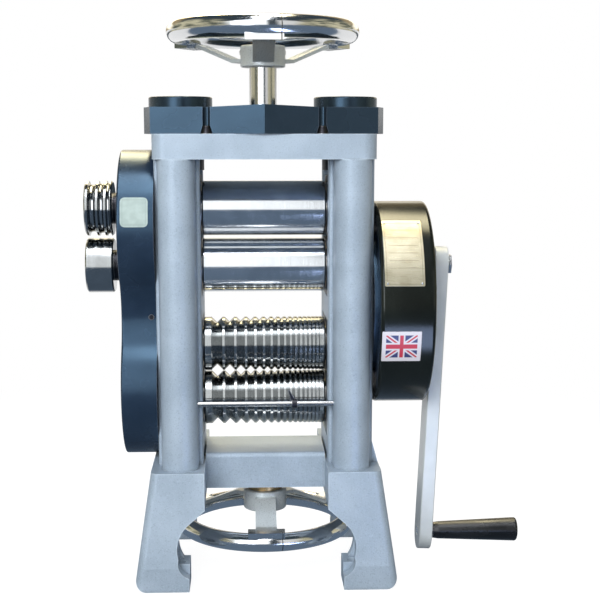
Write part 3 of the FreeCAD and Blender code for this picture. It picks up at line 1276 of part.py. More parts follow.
def adjuster_nodes():
    """Every second gear of a row faces its neighbour with a gap; odd tooth counts do the rest."""
    return {
        "top_handwheel": top_handwheel(),
        "top_wheel_shaft": top_wheel_shaft(),
        "right_upper_screw": upper_screw(SCREW_X, gap_at(180, TOP_SCREW_TEETH)),
        "left_upper_screw": upper_screw(-SCREW_X, 0),
        "bottom_handwheel": bottom_handwheel(),
        "bottom_wheel_shaft": bottom_wheel_shaft(),
        "right_idler_gear": idler_gear(idler_x(), gap_at(180, LOWER_TEETH)),
        "left_idler_gear": idler_gear(-idler_x(), 0),
        "right_lower_screw": lower_screw(SCREW_X, gap_at(180, LOWER_TEETH)),
        "left_lower_screw": lower_screw(-SCREW_X, 0),
        "guide_finger": guide_finger(),
    }


def main():
    os.makedirs("parts", exist_ok=True)
    nodes = {}
    for group in (frame_nodes, carriage_nodes, roll_nodes, drive_nodes, adjuster_nodes):
        nodes.update(group())
    for name, shape in nodes.items():
        solids = []
        for piece in as_list(shape):
            solids += piece.Solids
        compound = Part.makeCompound(solids)
        compound.exportStep(os.path.join("parts", name + ".step"))
        size = compound.BoundBox
        print(name, len(solids), "solids", "valid" if compound.isValid() else "INVALID",
              round(compound.Volume / 1000, 1), "cm3",
              [round(v, 1) for v in (size.XMin, size.XMax, size.YMin, size.YMax,
                                     size.ZMin, size.ZMax)])


main()
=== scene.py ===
"""Looks of the rolling mill: finishes, plates and stickers, the studio and the camera.

Metres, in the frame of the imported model: X along the rolls to the right, Y away from the
person who feeds the mill, Z up from the bench. An edge of something soft is a pair of
values: the first is where the thing is absent, the second is where it is full.
"""
import json
import math

import bmesh
import bpy
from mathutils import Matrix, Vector


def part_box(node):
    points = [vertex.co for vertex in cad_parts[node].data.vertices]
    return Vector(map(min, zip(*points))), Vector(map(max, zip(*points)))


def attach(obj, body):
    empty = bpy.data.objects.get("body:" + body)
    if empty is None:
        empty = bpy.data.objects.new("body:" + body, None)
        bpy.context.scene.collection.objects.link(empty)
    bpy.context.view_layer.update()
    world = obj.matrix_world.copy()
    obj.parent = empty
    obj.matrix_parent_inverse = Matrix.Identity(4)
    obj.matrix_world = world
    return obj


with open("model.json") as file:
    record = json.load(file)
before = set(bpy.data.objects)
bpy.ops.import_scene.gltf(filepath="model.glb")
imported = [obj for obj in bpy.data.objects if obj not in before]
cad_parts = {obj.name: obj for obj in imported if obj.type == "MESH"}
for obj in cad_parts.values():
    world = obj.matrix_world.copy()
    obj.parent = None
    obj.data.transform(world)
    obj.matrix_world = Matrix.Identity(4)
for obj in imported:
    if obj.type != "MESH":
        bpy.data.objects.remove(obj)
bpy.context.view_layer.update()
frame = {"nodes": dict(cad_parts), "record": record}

MM = 0.001
WHITE = (1.0, 1.0, 1.0, 1.0)


def tone(red, green, blue):
    """Linear colour from the 0 to 255 values of a display."""
    def linear(value):
        share = value / 255
        return share / 12.92 if share <= 0.04045 else ((share + 0.055) / 1.055) ** 2.4

    return linear(red), linear(green), linear(blue), 1.0


# Node trees

# How many layers of finer detail a noise has
PLAIN, SOFT, RICH = 1.0, 2.0, 3.0
NOISE_RANGE = (0.3, 0.7)
EDGE_OPENNESS = (0.95, 0.45)
CORNER_OPENNESS = (0.75, 0.25)
OCCLUSION_SAMPLES = 4
# Sockets of a Mix node that blends colours
FIRST_COLOUR, SECOND_COLOUR, BLENDED_COLOUR = 6, 7, 2


class Shading:
    """A node tree in the making; each call adds nodes and returns their output."""

    def __init__(self, tree, coordinates):
        self.tree = tree
        self.tree.nodes.clear()
        self.place = self.node("TexCoord").outputs[coordinates]

    def node(self, kind, inputs=None, **settings):
        """A new node; each of its inputs is linked to a socket or set to a value."""
        node = self.tree.nodes.new("ShaderNode" + kind)
        for name, value in settings.items():
            setattr(node, name, value)
        for key, value in (inputs or {}).items():
            if isinstance(value, bpy.types.NodeSocket):
                self.tree.links.new(value, node.inputs[key])
            else:
                node.inputs[key].default_value = value
        return node

    def axes(self):
        return self.node("SeparateXYZ", {0: self.place}).outputs

    def math(self, operation, *values):
        return self.node("Math", dict(enumerate(values)), operation=operation).outputs[0]

    def product(self, first, second):
        return self.math("MULTIPLY", first, second)

    def total(self, first, second):
        return self.math("ADD", first, second)

    def difference(self, first, second):
        return self.math("SUBTRACT", first, second)

    def apart(self, first, second):
        """How far the two values are from each other."""
        return self.math("ABSOLUTE", self.difference(first, second))

    def length(self, first, second):
        """How far the point with these two coordinates is from the axis."""
        squares = self.total(self.product(first, first), self.product(second, second))
        return self.math("SQRT", squares)

    def step(self, value, low, high, to_low=0.0, to_high=1.0):
        """Smooth change from to_low to to_high while value goes from low to high."""
        inputs = {"Value": value, "From Min": low, "From Max": high,
                  "To Min": to_low, "To Max": to_high}
        return self.node("MapRange", inputs, interpolation_type="SMOOTHSTEP").outputs[0]

    def band(self, value, first_edge, second_edge):
        """1 between two soft edges, 0 outside them."""
        return self.product(self.step(value, *first_edge), self.step(value, *second_edge))

    def spread(self, noise, to_low=0.0, to_high=1.0):
        """Noise drawn out over the whole way from to_low to to_high."""
        return self.step(noise, *NOISE_RANGE, to_low, to_high)

    def noise(self, size, detail=SOFT, stretch=(1.0, 1.0, 1.0)):
        """Noise from 0 to 1 whose lumps are about size metres across, times stretch."""
        scale = tuple(1.0 / (size * factor) for factor in stretch)
        place = self.node("VectorMath", {0: self.place, 1: scale}, operation="MULTIPLY")
        inputs = {"Vector": place.outputs[0], "Scale": 1.0, "Detail": detail}
        return self.node("TexNoise", inputs).outputs[0]

    def edges(self, reach):
        """1 along the outer edges, 0 on the faces."""
        node = self.node("AmbientOcclusion", {"Distance": reach}, inside=True,
                         only_local=True, samples=OCCLUSION_SAMPLES)
        return self.step(node.outputs["AO"], *EDGE_OPENNESS)

    def corners(self, reach):
        """1 in narrow gaps and inner corners, 0 on open faces."""
        node = self.node("AmbientOcclusion", {"Distance": reach}, samples=OCCLUSION_SAMPLES)
        return self.step(node.outputs["AO"], *CORNER_OPENNESS)

    def blend(self, share, first, second):
        """The colour first where share is 0, second where it is 1."""
        inputs = {0: share, FIRST_COLOUR: first, SECOND_COLOUR: second}
        return self.node("Mix", inputs, data_type="RGBA").outputs[BLENDED_COLOUR]

    def coats(self, colour, *coats):
        """Each coat, a share and its colour, lies over the colour so far."""
        for share, coat in coats:
            colour = self.blend(share, colour, coat)
        return colour

    def bump(self, height, depth, under=None):
        """Relief of about depth metres; under is a relief that it lies on."""
        inputs = {"Height": height, "Distance": depth, "Strength": 1.0}
        if under is not None:
            inputs["Normal"] = under
        return self.node("Bump", inputs).outputs[0]

    def light(self, kind, colour, strength):
        """An Emission or Background shader."""
        return self.node(kind, {"Color": colour, "Strength": strength}).outputs[0]

    def mixed(self, share, first, second):
        """The shader first where share is 0, second where it is 1."""
        return self.node("MixShader", {0: share, 1: first, 2: second}).outputs[0]

    def added(self, first, second):
        return self.node("AddShader", {0: first, 1: second}).outputs[0]


class Finish(Shading):
    """The nodes of a new material."""

    def __init__(self, name):
        self.material = bpy.data.materials.new(name)
        self.material.use_nodes = True
        super().__init__(self.material.node_tree, "Object")

    def shade(self, colour, rough, relief, **more):
        """The finished material; more sockets are named with _ for each space."""
        inputs = {"Base Color": colour, "Roughness": rough, "Normal": relief}
        inputs.update((name.replace("_", " "), value) for name, value in more.items())
        return self.close(self.node("BsdfPrincipled", inputs).outputs[0])

    def close(self, surface):
        self.node("OutputMaterial", {"Surface": surface})
        return self.material


# Paints. Above each finish stand the sizes of its noises, the four numbers of its steps as
# in Shading.step, its colours, its roughness and the depths of its relief.

SILVER_METALLIC = 0.15

CASTING_CLOUDS = 50 * MM
CASTING_LUMPS = 9 * MM
CASTING_GRAIN = 1.5 * MM
CASTING_WORN_LIT_EDGE_REACH = 1.6 * MM
CASTING_CORNER_SHADE_REACH = 7 * MM
CASTING_PEAKS = (0.56, 0.72, 0.0, 0.4)
CASTING_PITS = (0.44, 0.30, 0.0, 0.35)
CASTING_WEAR_AND_HIGHLIGHT = (0.36, 0.6, 0.25, 0.9)
CASTING_CORNER_SHADE_SHARE = 0.55
CASTING_TONES = (tone(160, 175, 190), tone(174, 189, 204))
CASTING_PEAK_TONE = tone(194, 208, 221)
CASTING_PIT_TONE = tone(110, 125, 142)
CASTING_WORN_HIGHLIGHT_TONE = tone(206, 219, 231)
CASTING_CORNER_SHADE_TONE = tone(70, 78, 88)
CASTING_ROUGHNESS = (0.38, 0.56)
CASTING_SPECULAR = 0.6
CASTING_LUMP_DEPTH = 0.35 * MM
CASTING_GRAIN_DEPTH = 0.22 * MM


def casting_paint():
    """Silver blue paint over sand castings: faint lumps, fine grain, worn edges with a painted
    highlight, painted shade in corners.
    """
    paint = Finish("silver_blue_paint")
    clouds = paint.noise(CASTING_CLOUDS, RICH)
    grain = paint.noise(CASTING_GRAIN, RICH)
    lumps = paint.noise(CASTING_LUMPS)
    peaks = paint.step(grain, *CASTING_PEAKS)
    pits = paint.step(grain, *CASTING_PITS)
    # Lighter edges: partly worn paint, partly a painted highlight along the edges
    lighter_edges = paint.product(paint.edges(CASTING_WORN_LIT_EDGE_REACH), paint.step(lumps, *CASTING_WEAR_AND_HIGHLIGHT))
    # Painted shade: ambient occlusion darkens the paint in corners and narrow gaps
    corner_shade = paint.product(paint.corners(CASTING_CORNER_SHADE_REACH), CASTING_CORNER_SHADE_SHARE)
    colour = paint.coats(paint.blend(paint.spread(clouds), *CASTING_TONES),
                         (peaks, CASTING_PEAK_TONE), (pits, CASTING_PIT_TONE),
                         (lighter_edges, CASTING_WORN_HIGHLIGHT_TONE), (corner_shade, CASTING_CORNER_SHADE_TONE))
    relief = paint.bump(lumps, CASTING_LUMP_DEPTH)
    relief = paint.bump(grain, CASTING_GRAIN_DEPTH, relief)
    return paint.shade(colour, paint.spread(grain, *CASTING_ROUGHNESS), relief,
                       Specular_IOR_Level=CASTING_SPECULAR, Metallic=SILVER_METALLIC)


ENAMEL_CLOUDS = 40 * MM
ENAMEL_PEEL = 2.2 * MM
ENAMEL_DUST = 0.8 * MM
ENAMEL_RUBBED_REACH = 0.9 * MM
ENAMEL_SPECKS = (0.7, 0.8, 0.0, 0.25)
ENAMEL_WEAR = (0.35, 0.6, 0.15, 0.6)
# One black enamel in three tones, lightest on the covers, darker on the housing and darkest on the
# drum; the difference is painted shade
ENAMEL_TONES = (tone(31, 43, 59), tone(38, 51, 68))
HOUSING_SHADED_TONES = (tone(25, 32, 39), tone(31, 39, 47))
DRUM_SHADED_TONES = (tone(17, 20, 17), tone(23, 27, 23))
ENAMEL_SPECK_TONE = tone(90, 96, 105)
ENAMEL_RUBBED_TONE = tone(96, 102, 112)
ENAMEL_SHEEN = (0.4, 0.7, 1.0, 1.0)
DRUM_SHEEN = (0.5, 0.52, 0.5, 1.0)
ENAMEL_ROUGHNESS = (0.22, 0.286)
DRUM_ROUGHNESS = (0.16, 0.208)
ENAMEL_IOR = 1.6
ENAMEL_PEEL_DEPTH = 0.04 * MM


def black_paint(name, tones, sheen, roughness):
    """Black enamel with a tinted sheen and a fine orange peel."""
    paint = Finish(name)
    peel = paint.noise(ENAMEL_PEEL)
    clouds = paint.noise(ENAMEL_CLOUDS, RICH)
    specks = paint.step(paint.noise(ENAMEL_DUST, PLAIN), *ENAMEL_SPECKS)
    lighter_edges = paint.product(paint.edges(ENAMEL_RUBBED_REACH), paint.step(clouds, *ENAMEL_WEAR))
    colour = paint.coats(paint.blend(paint.spread(clouds), *tones),
                         (specks, ENAMEL_SPECK_TONE), (lighter_edges, ENAMEL_RUBBED_TONE))
    return paint.shade(colour, paint.spread(clouds, *roughness),
                       paint.bump(peel, ENAMEL_PEEL_DEPTH),
                       IOR=ENAMEL_IOR, Specular_Tint=sheen)


CRANK_CLOUDS = 30 * MM
CRANK_GRAIN = 1.0 * MM
CRANK_RUBBED_REACH = 1.0 * MM
CRANK_WEAR = (0.3, 0.6, 0.3, 0.9)
CRANK_TONES = (tone(220, 226, 228), tone(230, 235, 237))
CRANK_RUBBED_TONE = tone(232, 236, 240)
CRANK_ROUGHNESS = (0.34, 0.46)
CRANK_GRAIN_DEPTH = 0.05 * MM


def crank_paint():
    """The flat bar's silver paint, smoother than that of the castings."""
    paint = Finish("silver_bar_paint")
    clouds = paint.noise(CRANK_CLOUDS, RICH)
    grain = paint.noise(CRANK_GRAIN)
    lighter_edges = paint.product(paint.edges(CRANK_RUBBED_REACH), paint.step(clouds, *CRANK_WEAR))
    colour = paint.coats(paint.blend(paint.spread(clouds), *CRANK_TONES),
                         (lighter_edges, CRANK_RUBBED_TONE))
    return paint.shade(colour, paint.spread(grain, *CRANK_ROUGHNESS),
                       paint.bump(grain, CRANK_GRAIN_DEPTH), Metallic=SILVER_METALLIC)


# Metals

ROLL_RINGS = 0.35 * MM
ROLL_RINGS_STRETCH = (1.0, 400.0, 400.0)
ROLL_FILM = 25 * MM
ROLL_HAZE = (0.35, 0.7, 0.0, 0.05)
ROLL_TONES = ((0.62, 0.64, 0.66, 1.0), (0.70, 0.72, 0.74, 1.0))
# A darker copy of the roll steel for the wire and extension rolls: painted shade
SHADED_ROLL_TONES = ((0.31, 0.32, 0.32, 1.0), (0.38, 0.39, 0.39, 1.0))
ROLL_ROUGHNESS = (0.07, 0.17)
ROLL_RINGS_DEPTH = 0.004 * MM


def ground_steel(name, tones):
    """Roll faces off the grinder: rings round the roll, so fine that they only soften it."""
    steel = Finish(name)
    rings = steel.noise(ROLL_RINGS, stretch=ROLL_RINGS_STRETCH)
    film = steel.noise(ROLL_FILM, RICH)
    rough = steel.total(steel.spread(rings, *ROLL_ROUGHNESS), steel.step(film, *ROLL_HAZE))
    return steel.shade(steel.blend(steel.spread(film), *tones), rough,
                       steel.bump(rings, ROLL_RINGS_DEPTH), Metallic=1.0)


TURNED_FILM = 14 * MM
TURNED_MARKS = 0.7 * MM
TURNED_EDGE_REACH = 0.7 * MM
TURNED_EDGE_SHARE = 0.5
TURNED_EDGE_TONE = (0.7, 0.7, 0.7, 1.0)
GEAR_TONES = ((0.22, 0.22, 0.23, 1.0), (0.34, 0.34, 0.35, 1.0))
GEAR_ROUGHNESS = (0.28, 0.45)
BLACKENED_TONES = ((0.035, 0.035, 0.04, 1.0), (0.06, 0.06, 0.07, 1.0))
BLACKENED_ROUGHNESS = (0.3, 0.5)
TURNED_MARKS_DEPTH = 0.03 * MM


def turned_steel(name, tones, roughness):
    """Machined steel with an oily, uneven film."""
    steel = Finish(name)
    film = steel.noise(TURNED_FILM, RICH)
    marks = steel.noise(TURNED_MARKS)
    bare = steel.product(steel.edges(TURNED_EDGE_REACH), TURNED_EDGE_SHARE)
    colour = steel.coats(steel.blend(steel.spread(film), *tones), (bare, TURNED_EDGE_TONE))
    return steel.shade(colour, steel.spread(marks, *roughness),
                       steel.bump(marks, TURNED_MARKS_DEPTH), Metallic=1.0)


WHEEL_SMEAR = 18 * MM
WHEEL_SMEAR_STRETCH = (1.0, 1.0, 0.5)
WHEEL_GRAIN = 1.1 * MM
RIM_EDGE = (78 * MM, 80 * MM)
SPOKE_TONE = (0.62, 0.66, 0.67, 1.0)
RIM_TONE = (0.72, 0.73, 0.74, 1.0)
SPOKE_ROUGHNESS = (0.26, 0.40)
RIM_ROUGHNESS = (0.35, 0.75, 0.11, 0.2)
SPOKE_METALLIC = 0.3
SPOKE_GRAIN_DEPTH = 0.04 * MM
JOINT_ANGLE = math.radians(-80)
JOINT_EDGE = (0.8 * MM, 0.4 * MM)
JOINT_FROM = (70 * MM, 75 * MM)
JOINT_TONE = (0.12, 0.12, 0.12, 1.0)
JOINT_SHARE = 0.7
JOINT_DEPTH = 0.3 * MM


def wheel_chrome():
    """Chromed tube rim with its joint; nearer the shaft the duller plating of the spokes."""
    chrome = Finish("wheel_chrome")
    x, y, _ = chrome.axes()
    rim = chrome.step(chrome.length(x, y), *RIM_EDGE)
    spoke = chrome.difference(1.0, rim)
    smear = chrome.noise(WHEEL_SMEAR, RICH, WHEEL_SMEAR_STRETCH)
    grain = chrome.noise(WHEEL_GRAIN)
    sine, cosine = math.sin(JOINT_ANGLE), math.cos(JOINT_ANGLE)
    aside = chrome.total(chrome.product(x, sine), chrome.product(y, -cosine))
    outward = chrome.total(chrome.product(x, cosine), chrome.product(y, sine))
    joint = chrome.product(chrome.step(chrome.math("ABSOLUTE", aside), *JOINT_EDGE),
                           chrome.step(outward, *JOINT_FROM))
    colour = chrome.coats(chrome.blend(rim, SPOKE_TONE, RIM_TONE),
                          (chrome.product(joint, JOINT_SHARE), JOINT_TONE))
    rough = chrome.total(chrome.product(rim, chrome.step(smear, *RIM_ROUGHNESS)),
                         chrome.product(spoke, chrome.spread(grain, *SPOKE_ROUGHNESS)))
    relief = chrome.bump(chrome.product(grain, spoke), SPOKE_GRAIN_DEPTH)
    relief = chrome.bump(chrome.product(joint, -1.0), JOINT_DEPTH, relief)
    metal = chrome.total(chrome.product(rim, 1 - SPOKE_METALLIC), SPOKE_METALLIC)
    return chrome.shade(colour, rough, relief, Metallic=metal)


BAR_LINES = 0.4 * MM
BAR_LINES_STRETCH = (60.0, 1.0, 1.0)
BAR_STREAK = 1.15
BRIGHT_BAR = 0.6
GUIDE_BAR = 0.38
BAR_ROUGHNESS = (0.12, 0.24)
BAR_LINES_DEPTH = 0.01 * MM


def bright_rod(name, grey):
    """Drawn bright bar and plated nuts."""
    rod = Finish(name)
    lines = rod.noise(BAR_LINES, stretch=BAR_LINES_STRETCH)
    streak = grey * BAR_STREAK
    colour = rod.blend(rod.spread(lines), (grey, grey, grey, 1.0),
                       (streak, streak, streak, 1.0))
    return rod.shade(colour, rod.spread(lines, *BAR_ROUGHNESS),
                     rod.bump(lines, BAR_LINES_DEPTH), Metallic=1.0)


IRON_FILM = 20 * MM
IRON_GRAIN = 0.9 * MM
IRON_TONES = (tone(72, 76, 80), tone(98, 102, 106))
IRON_ROUGHNESS = (0.42, 0.6)
IRON_METALLIC = 0.7
IRON_GRAIN_DEPTH = 0.05 * MM


def bearing_iron():
    """Grey iron chocks, milled on their sliding faces."""
    iron = Finish("bearing_iron")
    grain = iron.noise(IRON_GRAIN, RICH)
    film = iron.noise(IRON_FILM)
    return iron.shade(iron.blend(iron.spread(film), *IRON_TONES),
                      iron.spread(grain, *IRON_ROUGHNESS),
                      iron.bump(grain, IRON_GRAIN_DEPTH), Metallic=IRON_METALLIC)


BRONZE_FILM = 10 * MM
BRONZE_MARKS = 0.6 * MM
BRONZE_TONES = ((0.45, 0.29, 0.13, 1.0), (0.60, 0.42, 0.21, 1.0))
BRONZE_ROUGHNESS = (0.25, 0.4)
BRONZE_MARKS_DEPTH = 0.03 * MM


def bronze():
    """Bronze of the neck and shaft bushes."""
    metal = Finish("bearing_bronze")
    film = metal.noise(BRONZE_FILM, RICH)
    marks = metal.noise(BRONZE_MARKS)
    return metal.shade(metal.blend(metal.spread(film), *BRONZE_TONES),
                       metal.spread(marks, *BRONZE_ROUGHNESS),
                       metal.bump(marks, BRONZE_MARKS_DEPTH), Metallic=1.0)


# Plastic, plate and stickers

GRIP_RUB = 12 * MM
GRIP_RUB_STRETCH = (3.0, 1.0, 1.0)
GRIP_GRAIN = 0.5 * MM
GRIP_RUB_RANGE = (0.35, 0.75)
GRIP_TONES = (tone(15, 16, 18), tone(29, 30, 32))
GRIP_ROUGHNESS = (0.2, 0.36)
GRIP_GRAIN_DEPTH = 0.015 * MM


def grip_plastic():
    """Hard moulded plastic, rubbed a little by hands."""
    plastic = Finish("moulded_grip")
    rub = plastic.noise(GRIP_RUB, RICH, GRIP_RUB_STRETCH)
    grain = plastic.noise(GRIP_GRAIN)
    return plastic.shade(plastic.blend(plastic.step(rub, *GRIP_RUB_RANGE), *GRIP_TONES),
                         plastic.spread(rub, *GRIP_ROUGHNESS),
                         plastic.bump(grain, GRIP_GRAIN_DEPTH))


LINE_SOFTNESS = 0.25


def line_mask(paint, off, half_width):
    """1 where off, the distance from a line, is under half_width, with a soft edge."""
    return paint.step(off, half_width * (1 + LINE_SOFTNESS), half_width * (1 - LINE_SOFTNESS))


def border_mask(paint, x, z, x_range, z_range, inset, half_width):
    """A thin rectangle, inset from the outline of a plate."""
    past = [paint.difference(paint.apart(value, (low + high) / 2), (high - low) / 2 - inset)
            for value, (low, high) in ((x, x_range), (z, z_range))]
    off = paint.math("ABSOLUTE", paint.math("MAXIMUM", *past))
    return line_mask(paint, off, half_width)


BRASS_FILM = 12 * MM
BRASS_BRUSH = 0.3 * MM
BRASS_BRUSH_STRETCH = (80.0, 1.0, 1.0)
BRASS_BRUSH_MARKS = (0.5, 0.75, 0.0, 0.25)
BRASS_TONES = (tone(174, 166, 142), tone(188, 181, 158))
BRASS_BRUSH_TONE = tone(146, 134, 104)
BRASS_ETCHED_TONE = tone(92, 84, 62)
BRASS_ETCHED_SHARE = 0.55
BRASS_ROUGHNESS = (0.26, 0.42)
BRASS_METALLIC = 0.85
BRASS_BRUSH_DEPTH = 0.01 * MM
BRASS_ETCHED_DEPTH = 0.05 * MM
BRASS_BORDER_INSET = 2.2 * MM
BRASS_BORDER_HALF = 0.25 * MM
RULED_LINES = 6
RULED_MARGIN = 9 * MM
RULED_PITCH = 7.5 * MM
RULED_HALF = 0.22 * MM
RULED_INSET = 5 * MM
RULED_END = 1 * MM


def brass_plate_finish(x_range, z_range):
    """Brushed brass with an etched border and blank ruled lines."""
    brass = Finish("brushed_brass")
    x, _, z = brass.axes()
    brush = brass.noise(BRASS_BRUSH, stretch=BRASS_BRUSH_STRETCH)
    film = brass.noise(BRASS_FILM)
    etched = border_mask(brass, x, z, x_range, z_range, BRASS_BORDER_INSET, BRASS_BORDER_HALF)
    left, right = x_range[0] + RULED_INSET, x_range[1] - RULED_INSET
    inside = brass.band(x, (left, left + RULED_END), (right, right - RULED_END))
    for row in range(RULED_LINES):
        height = z_range[1] - RULED_MARGIN - row * RULED_PITCH
        ruled = brass.product(line_mask(brass, brass.apart(z, height), RULED_HALF), inside)
        etched = brass.math("MAXIMUM", etched, ruled)
    colour = brass.coats(brass.blend(brass.spread(film), *BRASS_TONES),
                         (brass.step(brush, *BRASS_BRUSH_MARKS), BRASS_BRUSH_TONE),
                         (brass.product(etched, BRASS_ETCHED_SHARE), BRASS_ETCHED_TONE))
    relief = brass.bump(brush, BRASS_BRUSH_DEPTH)
    relief = brass.bump(brass.product(etched, -1.0), BRASS_ETCHED_DEPTH, relief)
    return brass.shade(colour, brass.spread(brush, *BRASS_ROUGHNESS), relief,
                       Metallic=BRASS_METALLIC)


STICKER_ROUGHNESS = (0.3, 0.42)
VINYL_FILM = 8 * MM
VINYL_GRAIN = 0.7 * MM
VINYL_TONES = (tone(160, 176, 172), tone(174, 190, 186))
VINYL_BORDER_TONE = tone(120, 136, 132)
VINYL_BORDER_SHARE = 0.5
VINYL_BORDER_INSET = 2.4 * MM
VINYL_BORDER_HALF = 0.3 * MM
VINYL_FILM_DEPTH = 0.05 * MM


def blank_label_finish(x_range, z_range):
    """White vinyl with a thin printed border and nothing in it."""
    vinyl = Finish("white_vinyl")
    x, _, z = vinyl.axes()
    film = vinyl.noise(VINYL_FILM)
    grain = vinyl.noise(VINYL_GRAIN)
    border = border_mask(vinyl, x, z, x_range, z_range, VINYL_BORDER_INSET, VINYL_BORDER_HALF)
    colour = vinyl.coats(vinyl.blend(vinyl.spread(film), *VINYL_TONES),
                         (vinyl.product(border, VINYL_BORDER_SHARE), VINYL_BORDER_TONE))
    return vinyl.shade(colour, vinyl.spread(grain, *STICKER_ROUGHNESS),
                       vinyl.bump(film, VINYL_FILM_DEPTH))


FLAG_GRAIN = 0.6 * MM
FLAG_WHITE = tone(228, 224, 232)
FLAG_RED = tone(196, 44, 62)
FLAG_BLUE = tone(44, 52, 104)
FLAG_DIAGONALS = ((FLAG_WHITE, (0.27, 0.22)), (FLAG_RED, (0.10, 0.07)))
FLAG_CROSSES = ((FLAG_WHITE, (0.36, 0.23)), (FLAG_RED, (0.21, 0.13)))
FLAG_CROSS_SOFTNESS = 0.03
FLAG_OUTER_EDGE = (0.99, 1.01)
FLAG_GRAIN_DEPTH = 0.01 * MM


def flag_finish(x_range, z_range, margin):
    """Printed flag of crosses: blue field, white and red diagonals and upright cross."""
    flag = Finish("flag_print")
    x, _, z = flag.axes()
    shares = [flag.math("DIVIDE", flag.difference(value, (low + high) / 2),
                        (high - low) / 2 - margin)
              for value, (low, high) in ((x, x_range), (z, z_range))]
    across, up = (flag.math("ABSOLUTE", share) for share in shares)
    slant = flag.apart(across, up)
    colour = FLAG_BLUE
    for ink, edge in FLAG_DIAGONALS:
        colour = flag.blend(flag.step(slant, *edge), colour, ink)
    for ink, halves in FLAG_CROSSES:
        for share, half in zip((up, across), halves):
            bar = flag.step(share, half, half - FLAG_CROSS_SOFTNESS)
            colour = flag.blend(bar, colour, ink)
    outside = flag.math("MAXIMUM", across, up)
    colour = flag.blend(flag.step(outside, *FLAG_OUTER_EDGE), colour, FLAG_WHITE)
    grain = flag.noise(FLAG_GRAIN)
    return flag.shade(colour, flag.spread(grain, *STICKER_ROUGHNESS),
                      flag.bump(grain, FLAG_GRAIN_DEPTH))


def dress_cad_nodes():
    """Each node takes the finish of its material slot in the record, or one of its own."""
    by_slot = {
        "casting_paint": casting_paint(),
        "black_paint": black_paint("black_enamel", ENAMEL_TONES, ENAMEL_SHEEN,
                                   ENAMEL_ROUGHNESS),
        "crank_paint": crank_paint(),
        "ground_steel": ground_steel("ground_roll_steel", ROLL_TONES),
        "dark_steel": turned_steel("blackened_steel", BLACKENED_TONES, BLACKENED_ROUGHNESS),
        "chrome": bright_rod("bright_bar", BRIGHT_BAR),
        "gear_steel": turned_steel("gear_steel", GEAR_TONES, GEAR_ROUGHNESS),
        "bearing_iron": bearing_iron(),
        "bronze": bronze(),
        "grip_plastic": grip_plastic(),
    }
    # The housing and the drum take darker copies of the enamel as painted shade
    case = black_paint("housing_enamel", HOUSING_SHADED_TONES, ENAMEL_SHEEN, ENAMEL_ROUGHNESS)
    chrome = wheel_chrome()
    # The wire and extension rolls take the darker copy of the roll steel: painted shade
    shaded_roll_finish = ground_steel("shaded_roll_steel", SHADED_ROLL_TONES)
    by_node = {
        "top_gear_housing": case,
        "screw_caps": case,
        "gearbox_drum": black_paint("drum_enamel", DRUM_SHADED_TONES, DRUM_SHEEN, DRUM_ROUGHNESS),
        "top_handwheel": chrome,
        "bottom_handwheel": chrome,
        "top_wheel_shaft": by_slot["chrome"],
        "bottom_wheel_shaft": by_slot["chrome"],
        "guide_rod": bright_rod("guide_bar", GUIDE_BAR),
        "upper_wire_roll": shaded_roll_finish,
        "lower_wire_roll": shaded_roll_finish,
        "upper_extension_roll": shaded_roll_finish,
        "lower_extension_roll": shaded_roll_finish,
    }
    for part in frame["record"]["subparts"]:
        mesh = frame["nodes"][part["node"]].data
        mesh.materials.clear()
        mesh.materials.append(by_node.get(part["node"], by_slot[part["material_slot"]]))


# Plates and stickers, bent round the cases that carry them

PLATE_STRIPS = 24
PLATE_CORNER_STEPS = 6
PLATE_BEVEL = 0.4
PLATE_BEVEL_SEGMENTS = 2
PLATE_BEVEL_ANGLE = math.radians(50)
DOME_RINGS = ((1.0, 0.0), (1.0, 0.15), (0.92, 0.4), (0.66, 0.66), (0.34, 0.8))
DOME_HEIGHT = 0.84
DOME_SIDES = 20
LABEL_X = (-151 * MM, -122 * MM)
LABEL_Z = (387.5 * MM, 418 * MM)
LABEL_CORNER = 5 * MM
LABEL_THICKNESS = 0.25 * MM
COVER_LOBE_RADIUS = 84 * MM
BRASS_X = (124 * MM, 166 * MM)
BRASS_Z = (327 * MM, 392 * MM)
BRASS_CORNER = 1.5 * MM
BRASS_THICKNESS = 0.6 * MM
RIVET_INSET = 3.0 * MM
RIVET_RADIUS = 1.3 * MM
FLAG_X = (121.5 * MM, 163 * MM)
FLAG_Z = (247 * MM, 280 * MM)
FLAG_MARGIN = 4.2 * MM
FLAG_CORNER = 0.8 * MM
FLAG_THICKNESS = 0.2 * MM


def rounded_rectangle(x_range, s_range, corner):
    """Outline of a rectangle with round corners, anticlockwise; s runs up the case."""
    centres = [(x_range[1] - corner, s_range[1] - corner, 0),
               (x_range[0] + corner, s_range[1] - corner, 90),
               (x_range[0] + corner, s_range[0] + corner, 180),
               (x_range[1] - corner, s_range[0] + corner, 270)]
    points = []
    for x, s, start in centres:
        for step in range(PLATE_CORNER_STEPS + 1):
            angle = math.radians(start + 90 * step / PLATE_CORNER_STEPS)
            points.append((x + corner * math.cos(angle), s + corner * math.sin(angle)))
    return points


def new_object(name, mesh, material, body):
    """A piece of one material that moves with the body."""
    data = bpy.data.meshes.new(name)
    bmesh.ops.recalc_face_normals(mesh, faces=mesh.faces[:])
    mesh.to_mesh(data)
    mesh.free()
    data.materials.append(material)
    piece = bpy.data.objects.new(name, data)
    bpy.context.scene.collection.objects.link(piece)
    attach(piece, body)
    return piece


